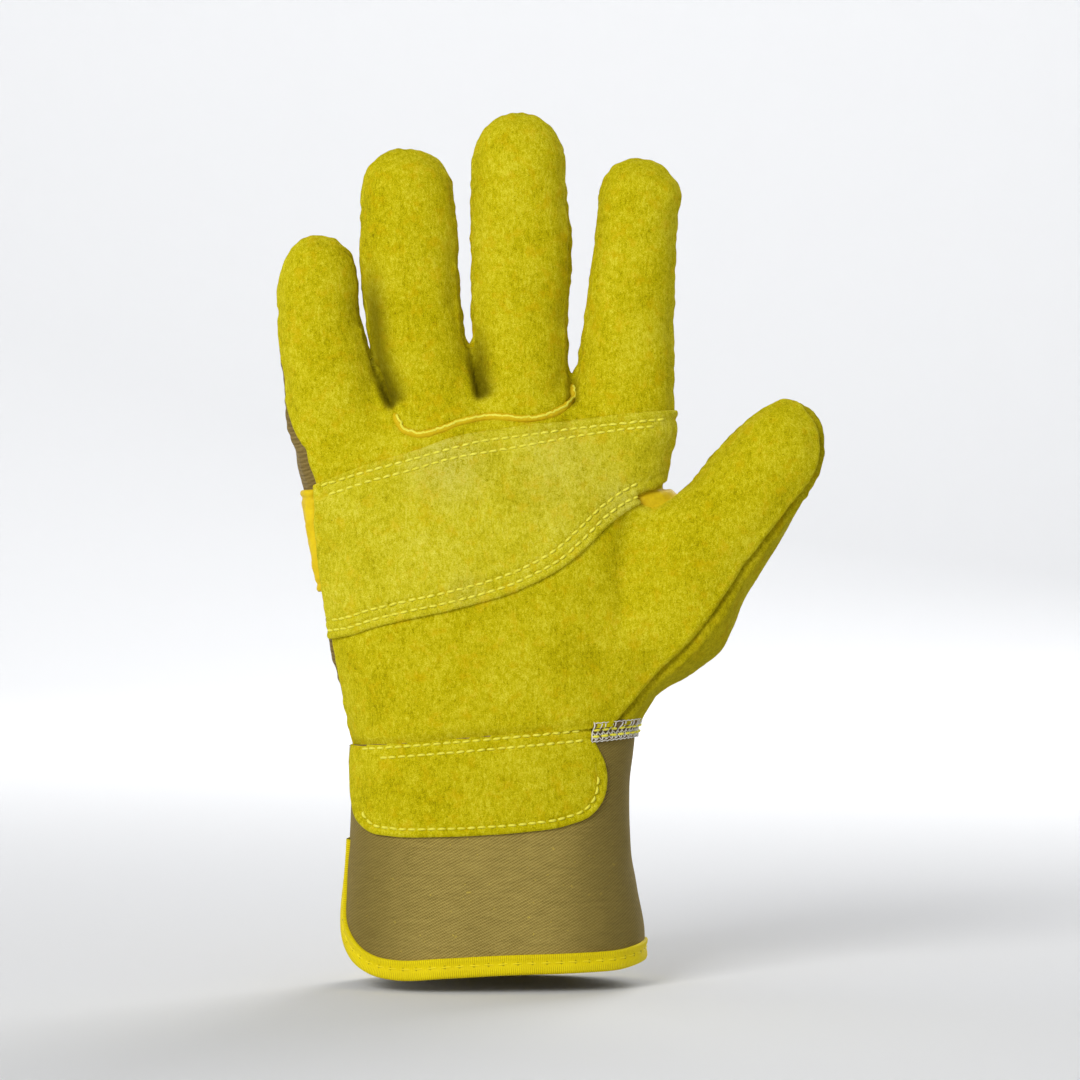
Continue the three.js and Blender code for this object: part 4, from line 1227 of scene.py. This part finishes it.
CUFF_HEIGHTS = [0, 8, 19, 30, 42, 52, 61, 70, 75, 80, 86]
CUFF_X = smooth_curve(CUFF_HEIGHTS, [-0.3, -0.3, -0.3, -0.7, -1.2, -1.4, -1.3, -0.7, -0.4, -0.3, -0.3])
CUFF_A = smooth_curve(CUFF_HEIGHTS, [45.5, 46.0, 46.1, 44.9, 43.6, 42.9, 42.8, 43.1, 43.1, 43.2, 44])
CUFF_B = smooth_curve(CUFF_HEIGHTS, [28.6, 29, 28.9, 28.3, 27.5, 26.7, 25.8, 24.6, 23.8, 23.3, 23.4])
CUFF_TOP, SLIT_TOP = 85, 44
NUDGE = 0.2  # the cuff's slope is measured this far to each side


def superellipse(turn, a, b, power=2.35):
    c, s = np.cos(turn), np.sin(turn)
    return a * np.sign(c) * np.abs(c) ** (2 / power), b * np.sign(s) * np.abs(s) ** (2 / power)


# places round the cuff's mid section, from the slit over the front, as angles and as lengths
TURNS = np.linspace(-math.pi, math.pi, 4001)
LENGTHS = lengths_along(np.column_stack(superellipse(TURNS, 45.2, 28)))
ROUND = LENGTHS[-1]


def cuff_place(s, z):
    x, y = superellipse(np.interp(s, LENGTHS, TURNS), CUFF_A(z), CUFF_B(z))
    return np.column_stack([x + CUFF_X(z), y, z])


def cuff_surface(s, z, lift=0.0):
    """Points lift mm outside the cuff's cloth, s mm round from the slit and z mm up, with their normals."""
    round_step = cuff_place(s + NUDGE, z) - cuff_place(s - NUDGE, z)
    up_step = cuff_place(s, z + NUDGE) - cuff_place(s, z - NUDGE)
    normals = unit(np.cross(round_step, up_step))
    p = cuff_place(s, z)
    ripple = 0.4 * waves(p, 34, 41) + 0.12 * waves(p, 11, 42)
    return p + normals * (ripple + lift)[:, None], normals


def cuff_edge():
    """The cloth's lower edge, in mm round and up: down the slit's front edge, along the hem, and up again."""
    front = [(0.15, SLIT_TOP), (0.6, 35), (2.2, 25.5), (5.2, 17.6), (9.8, 11.6), (15.6, 7.4), (22, 4.9)]
    hem = [(30, 3.9), (46, 4.8), (62, 5.7), (84, 6.2), (100, 6.6), (114, 8), (124, 8.2), (138, 5.6)]
    hem += [(152, 2.8), (168, 1.3), (184, 1.1), (200, 1.5), (210, 2.4)]
    back = [(20, 4.2), (14.5, 6.8), (9, 11), (4.8, 17), (2, 25), (0.6, 35), (0.15, SLIT_TOP)]
    return rounded(front + hem + [(ROUND - gap, z) for gap, z in back], step=0.5)


EDGE = cuff_edge()


def cuff_sheet(step=0.8, low=-1.0, high=CUFF_TOP):
    """The whole cuff as layers."""
    columns, rows = int(ROUND / step) + 1, int((high - low) / step) + 1
    s, z = np.meshgrid(np.linspace(0, ROUND, columns), np.linspace(low, high, rows), indexing="ij")
    s, z = s.ravel(), z.ravel()
    points, normals = cuff_surface(np.clip(s, NUDGE, ROUND - NUDGE), z)
    return Skin(np.column_stack([points, points, normals, s, z]), halves(grid_corners(columns, rows)))


def band_line(s):
    """The height, s mm round the cuff, that the band lies along: the wrist line, or lower near the slit."""
    return wrist_line(cuff_place(s, np.full(len(s), 75.0))[:, 0]) - 1.6 * smoothstep(ROUND - 30, ROUND, s)


def on_cuff(name, layers, edge_of, lift_of, thick, material, slot, soft=0.5):
    def lifts(p):
        lift = lift_of(p)
        return lift, lift

    return laid_on(name, layers, edge_of, lifts, thick, material, slot, "hand", soft, 0.03, ROUND_UP)


def cuff_band():
    above = [(ROUND, SLIT_TOP), (ROUND + 9, 200), (-9, 200), (0, SLIT_TOP)]
    outline = np.vstack([EDGE[::2], EDGE[-1:], above])

    def edge(p):
        s, z = p[:, ROUND_UP].T
        return np.minimum(inside_distance(p[:, ROUND_UP], outline), band_line(s) + 1.0 - z)

    def lift(p):
        return np.full(len(p), -TWILL)

    return on_cuff("cuff_band", cuff_sheet(), edge, lift, TWILL, TWILL_CUFF, "cuff_twill")


def wrist_row(drop, low, high):
    x = np.linspace(low, high, 60)
    return np.column_stack([x, wrist_line(x) - drop])


PULSE = [(-44, 77), (-43.8, 71.3), (-43.7, 64), (-43.2, 57), (-41.3, 50.6), (-37.4, 47.4), (-31, 46.4)]
PULSE += [(-17.8, 46.4), (-3.9, 47), (9.9, 48), (22.3, 49.9), (29, 52.6), (32.5, 56.9), (33.8, 62)]
PULSE += [(33.3, 68), (30.6, 74.6), (29, 78.6)]
PULSE_ROWS = [wrist_row(0.3, -40, 29.3), wrist_row(3.3, -34.5, 30.5), beside(PULSE[3:-2], 2.5)[4:]]


def pulse_patch():
    outline = np.vstack([rounded(PULSE[1:-1]), [(29, 84), (-44, 80)]])

    def edge(p):
        return np.where(p[:, 1] < 0, inside_distance(p[:, [0, 2]], outline), -1)

    def lift(p):
        return 0.12 - 0.55 * smoothstep(68, 75, p[:, 2]) + groove(p, PULSE_ROWS)

    layers = cuff_sheet(0.55, 44, 82)
    above = layers.points[:, 2] - wrist_line(layers.points[:, 0]) > 0.9
    layers.keep(~above[layers.faces].any(1))
    return on_cuff("pulse_patch", layers, edge, lift, PATCH_THICK, SUEDE, "split_leather", soft=1.1)


def tube_faces(threads, rings, sides=6, inward=False):
    """The faces of closed tubes made of rings of points. inward is for rings that run the other way round."""
    fan = np.array([(0, j + 1, j) for j in range(1, sides - 1)])
    wall = halves(grid_corners(rings, sides, around=True)[:, [0, 3, 2, 1]])
    one = np.vstack([wall, fan, fan[:, ::-1] + (rings - 1) * sides])
    if inward:
        one = one[:, ::-1]
    offsets = np.arange(threads)[:, None, None] * rings * sides
    return (one[None] + offsets).reshape(-1, 3)


# a ribbed tape folded over the cloth's edge, seen from its end: mm in from the edge, mm out of the cloth
TAPE_OUTSIDE = [(5.3, 0.1), (5.25, 0.7), (4.9, 0.95), (4.1, 0.9), (3.3, 0.62), (2.7, 0.55), (2.1, 0.65)]
TAPE_AROUND = [(1.2, 0.95), (0.3, 1.05), (-0.45, 0.85), (-0.85, 0.2), (-0.9, -0.5), (-0.75, -1.2)]
TAPE_INSIDE = [(-0.3, -1.75), (0.5, -1.95), (2, -1.85), (4, -1.85), (5.1, -1.6), (5.2, -1.0)]
TAPE_PROFILE = TAPE_OUTSIDE + TAPE_AROUND + TAPE_INSIDE


def binding(name, path):
    """A tape folded over the cuff's edge, along a path in mm round and up."""
    left = to_left(path)
    rings = np.stack([cuff_surface(*(path + left * depth).T, out)[0] for depth, out in TAPE_PROFILE], axis=1)
    faces = tube_faces(1, len(path), len(TAPE_PROFILE), inward=True)
    across = np.tile([depth for depth, _ in TAPE_PROFILE], len(path))
    cloth = np.column_stack([np.repeat(lengths_along(path), len(TAPE_PROFILE)), across])
    attach(add_mesh(name, rings.reshape(-1, 3), faces, TAPE, cloth=cloth), "cuff", "yellow_tape", name)


cuff_top, pulse_top = cuff_band(), pulse_patch()
first, last = np.flatnonzero(EDGE[:, 1] < 12)[[0, -1]]
binding("hem_binding", EDGE[first : last + 1])
binding("slit_binding_front", EDGE[: first + 1])
binding("slit_binding_back", EDGE[last:])


# ---------------------------------------------------------------- threads, welt and the wrist's band


def joined(parts):
    """Parts, each points and faces, as one."""
    starts = np.cumsum([0] + [len(points) for points, _ in parts])
    faces = [faces + start for (_, faces), start in zip(parts, starts)]
    return np.vstack([points for points, _ in parts]), np.vstack(faces)


class Surface:
    """Finished surfaces that threads are laid on."""

    def __init__(self, *parts):
        points, self.faces = joined(parts)
        self.normals = np.vstack([vertex_normals(*part) for part in parts])
        self.tree = BVHTree.FromPolygons([Vector(p) for p in points], self.faces.tolist())

    def row(self, line, side=-1, step=0.4):
        """A row given in X and Z, laid on the side that faces -Y or +Y, with the normals there."""
        hits, normals = [], []
        for x, z in rounded(line, step):
            place, _, face, _ = self.tree.ray_cast(Vector((x, 90 * side, z)), Vector((0, -side, 0)))
            if place is not None:
                hits.append(place)
                normals.append(self.normals[self.faces[face]].mean(0))
        return np.array(hits), unit(np.array(normals))


def tubes(centres, normals, radii, sides=6):
    """Closed tubes round centre lines. centres is (threads, rings, 3), and radii fits it or is one number."""
    across = unit(np.cross(unit(np.gradient(centres, axis=1)), normals))
    up = np.cross(across, unit(np.gradient(centres, axis=1)))
    turn = np.arange(sides) * 2 * math.pi / sides
    spokes = across[:, :, None] * np.cos(turn)[:, None] + up[:, :, None] * np.sin(turn)[:, None]
    radii = np.broadcast_to(radii, centres.shape[:2])
    rings = centres[:, :, None] + spokes * radii[..., None, None]
    return rings.reshape(-1, 3), tube_faces(*centres.shape[:2], sides)


def stitches(lines, pitch, length, radius, height=0.3, seed=1, rings=7):
    """Separate stitches along lines of (points, normals), each out of the surface and into it again."""
    rng = np.random.default_rng(seed)
    t = np.linspace(0, 1, rings)
    all_centres, all_normals = [], []
    for line in lines:
        along = lengths_along(line[0])
        count = int((along[-1] - length) / pitch)
        starts = np.arange(count) * pitch + rng.normal(0, pitch * 0.03, count)
        at = np.clip(starts[:, None] + length * t, 0, along[-1])
        centre, normal = (np.stack([np.interp(at, along, c) for c in values.T], axis=2) for values in line)
        normal = unit(normal)
        rise = height * (1 - (2 * t - 1) ** 4) - 0.3 * (2 * t - 1) ** 4
        sideways = np.cross(unit(np.gradient(centre, axis=1)), normal)
        slant = rng.normal(0, 0.06, count)[:, None, None] * (t - 0.5)[:, None] * length
        all_centres.append(centre + normal * rise[:, None] + sideways * slant)
        all_normals.append(normal)
    shape = np.sqrt(np.clip(1 - (2 * t - 1) ** 2 * 0.75, 0.05, 1))
    return tubes(np.concatenate(all_centres), np.concatenate(all_normals), radius * shape)


def add_stitches(name, lines, zone, material=THREAD, **shape):
    attach(add_mesh(name, *stitches(lines, **shape), material), zone, "yellow_tape")


LOCKSTITCH = {"pitch": 3.05, "length": 2.4, "radius": 0.42}

palm_surface = Surface((final, skin.faces), patch_top)
strap_surface = Surface((final, skin.faces), strap_top)
pulse_surface = Surface(cuff_top, pulse_top, (final, skin.faces))
patch_lines = [palm_surface.row(row) for row in PATCH_ROWS]
strap_lines = [strap_surface.row([(-52, z), (32, z)], side=1) for (_, z), _ in STRAP_ROWS]
pulse_lines = [pulse_surface.row(row) for row in PULSE_ROWS]
add_stitches("patch_stitches", patch_lines, "hand_body", seed=3, **LOCKSTITCH)
add_stitches("strap_stitches", strap_lines, "hand_body", seed=4, **LOCKSTITCH)
add_stitches("pulse_stitches", pulse_lines, "hand", seed=5, **LOCKSTITCH)


def welt():
    """The rolled piping under the middle and ring fingers, with the thread that closes it."""
    line, normals = palm_surface.row(WELT[1:-1], step=0.7)
    lift = 0.25 + 0.1 * waves(line, 5, 61)
    centre = line + normals * lift[:, None]
    place_in = np.arange(len(line))
    taper = np.minimum(1, 0.35 + 0.3 * np.minimum(place_in, place_in[::-1]))
    radii = 1.2 * (1 + 0.08 * waves(line, 3.2, 62)) * taper
    made = add_mesh("finger_welt", *tubes(centre[None], normals[None], radii, 12), WELT_LEATHER)
    attach(made, "hand_body", "gold_leather", "finger_welt")
    upper = centre + normals * 0.95 + np.array([0, 0, 0.62])
    thread = add_mesh("welt_thread", *tubes(upper[None, 2:-2], normals[None, 2:-2], 0.38), THREAD)
    attach(thread, "hand_body", "yellow_tape")


welt()


def turned_out(s, z):
    """How far the band's upper edge stands off, over the gathered back."""
    near_slit = smoothstep(ROUND - 26, ROUND - 6, s)
    side = bump((s - ROUND / 2) / 12)
    return 1.75 * smoothstep(-1.5, 0.8, z - band_line(s)) * (1 - 0.95 * near_slit) * (1 - 0.4 * side)


def band_start():
    """How far round from the slit, over the front, the band starts: at the right of the pulse patch."""
    half = LENGTHS < ROUND / 2
    x = superellipse(TURNS[half], 43.2, 24)[0] + CUFF_X(76)
    return np.interp(29.4, x, LENGTHS[half])


BAND_START = band_start()
BAND_BELOW, BAND_ABOVE = 4.3, 1.9  # how far its edges are below and above its line


def seam_band():
    """The overlocked seam allowance, from beside the pulse patch round the back to the slit."""

    def edge(p):
        s, z = p[:, ROUND_UP].T
        up = z - band_line(s)
        ends = np.minimum(s - BAND_START, ROUND - 1.5 - s)
        return np.minimum(np.minimum(up + BAND_BELOW, BAND_ABOVE - up), ends)

    def lift(p):
        return 0.15 + turned_out(*p[:, ROUND_UP].T)

    on_cuff("cuff_seam_band", cuff_sheet(0.7, 64, 86), edge, lift, BAND_THICK, BAND_BROWN, "overlock")


LOOP = 1.9  # from one loop of the overlock's thread to the next


def overlock_threads():
    """White thread looped over the band's two edges, and the yellow rows that hold it."""
    rng = np.random.default_rng(8)

    def lay(s, up, lift):
        z = band_line(s) + up
        return cuff_surface(s, z, 0.98 + turned_out(s, z) + lift)

    starts = np.arange(BAND_START + 0.4, ROUND - 2, LOOP)
    t = np.linspace(0, 1, 9)
    loops = []
    for k, at in enumerate(starts):
        lean = rng.normal(0, 0.12)
        s = at + lean + (0.75 if k % 2 else -0.1) * (t - 0.5) * 2
        z = band_line(starts)[k] - BAND_BELOW + (BAND_BELOW + BAND_ABOVE) * t
        lift = 0.98 + turned_out(s, z) + np.where((t < 0.05) | (t > 0.95), -0.7, 0.0)
        loops.append(cuff_surface(s, z, lift))
    parts = [tubes(np.stack([p for p, _ in loops]), np.stack([n for _, n in loops]), 0.2, 5)]
    fine = np.arange(BAND_START + 0.3, ROUND - 1.8, 0.25)
    for up, wave in ((1.7, 0.1), (-4.1, 0.14), (-3.3, 0.4), (-1.8, 0.4)):
        points, normals = lay(fine, up + wave * np.sin(fine * 2 * math.pi / LOOP + up), 0.08)
        parts.append(tubes(points[None], normals[None], 0.15, 5))
    attach(add_mesh("overlock_threads", *joined(parts), WHITE_THREAD), "hand", "overlock")
    rows = [lay(fine, up, 0.05) for up in (-0.6, -2.6)]
    add_stitches("band_stitches", rows, "hand", seed=9, **LOCKSTITCH)


def hem_stitches():
    """Stitches through the tape; the dimple at each of their holes is only painted shade in the tape's
    colour.
    """
    line = cuff_surface(*(EDGE + 2.7 * to_left(EDGE)).T, 0.5)
    shape = {"pitch": HOLES, "length": HOLES - 0.7, "radius": 0.26, "height": 0.12}
    add_stitches("hem_stitches", [line], "cuff", TAPE_THREAD, seed=10, **shape)


seam_band()
overlock_threads()
hem_stitches()


# ---------------------------------------------------------------- inside


def inside_piece(name, where, depth, thick, material, slot):
    """A layer depth mm inside the glove, following its skin."""
    outer, inner = (skin.points - smooth_normals * deep for deep in (depth, depth + thick))
    points, faces, corner, used = shell(outer, inner, skin.faces[where], smooth_normals)
    rest = np.vstack([skin.points[used]] * 2)
    attach(add_mesh(name, points, faces, material, corner, rest, rest[:, [0, 2]]), "hand", slot, name)


lined, gathered = in_box("palm", (-40, -40, 84), (26, -8, 166)), in_box("back", (-30, 8, 83), (30, 40, 92))
inside_piece("palm_lining", lined, 1.75, 1.0, FLEECE, "fleece")
inside_piece("wrist_elastic", gathered, 2.9, 0.9, ELASTIC, "elastic")
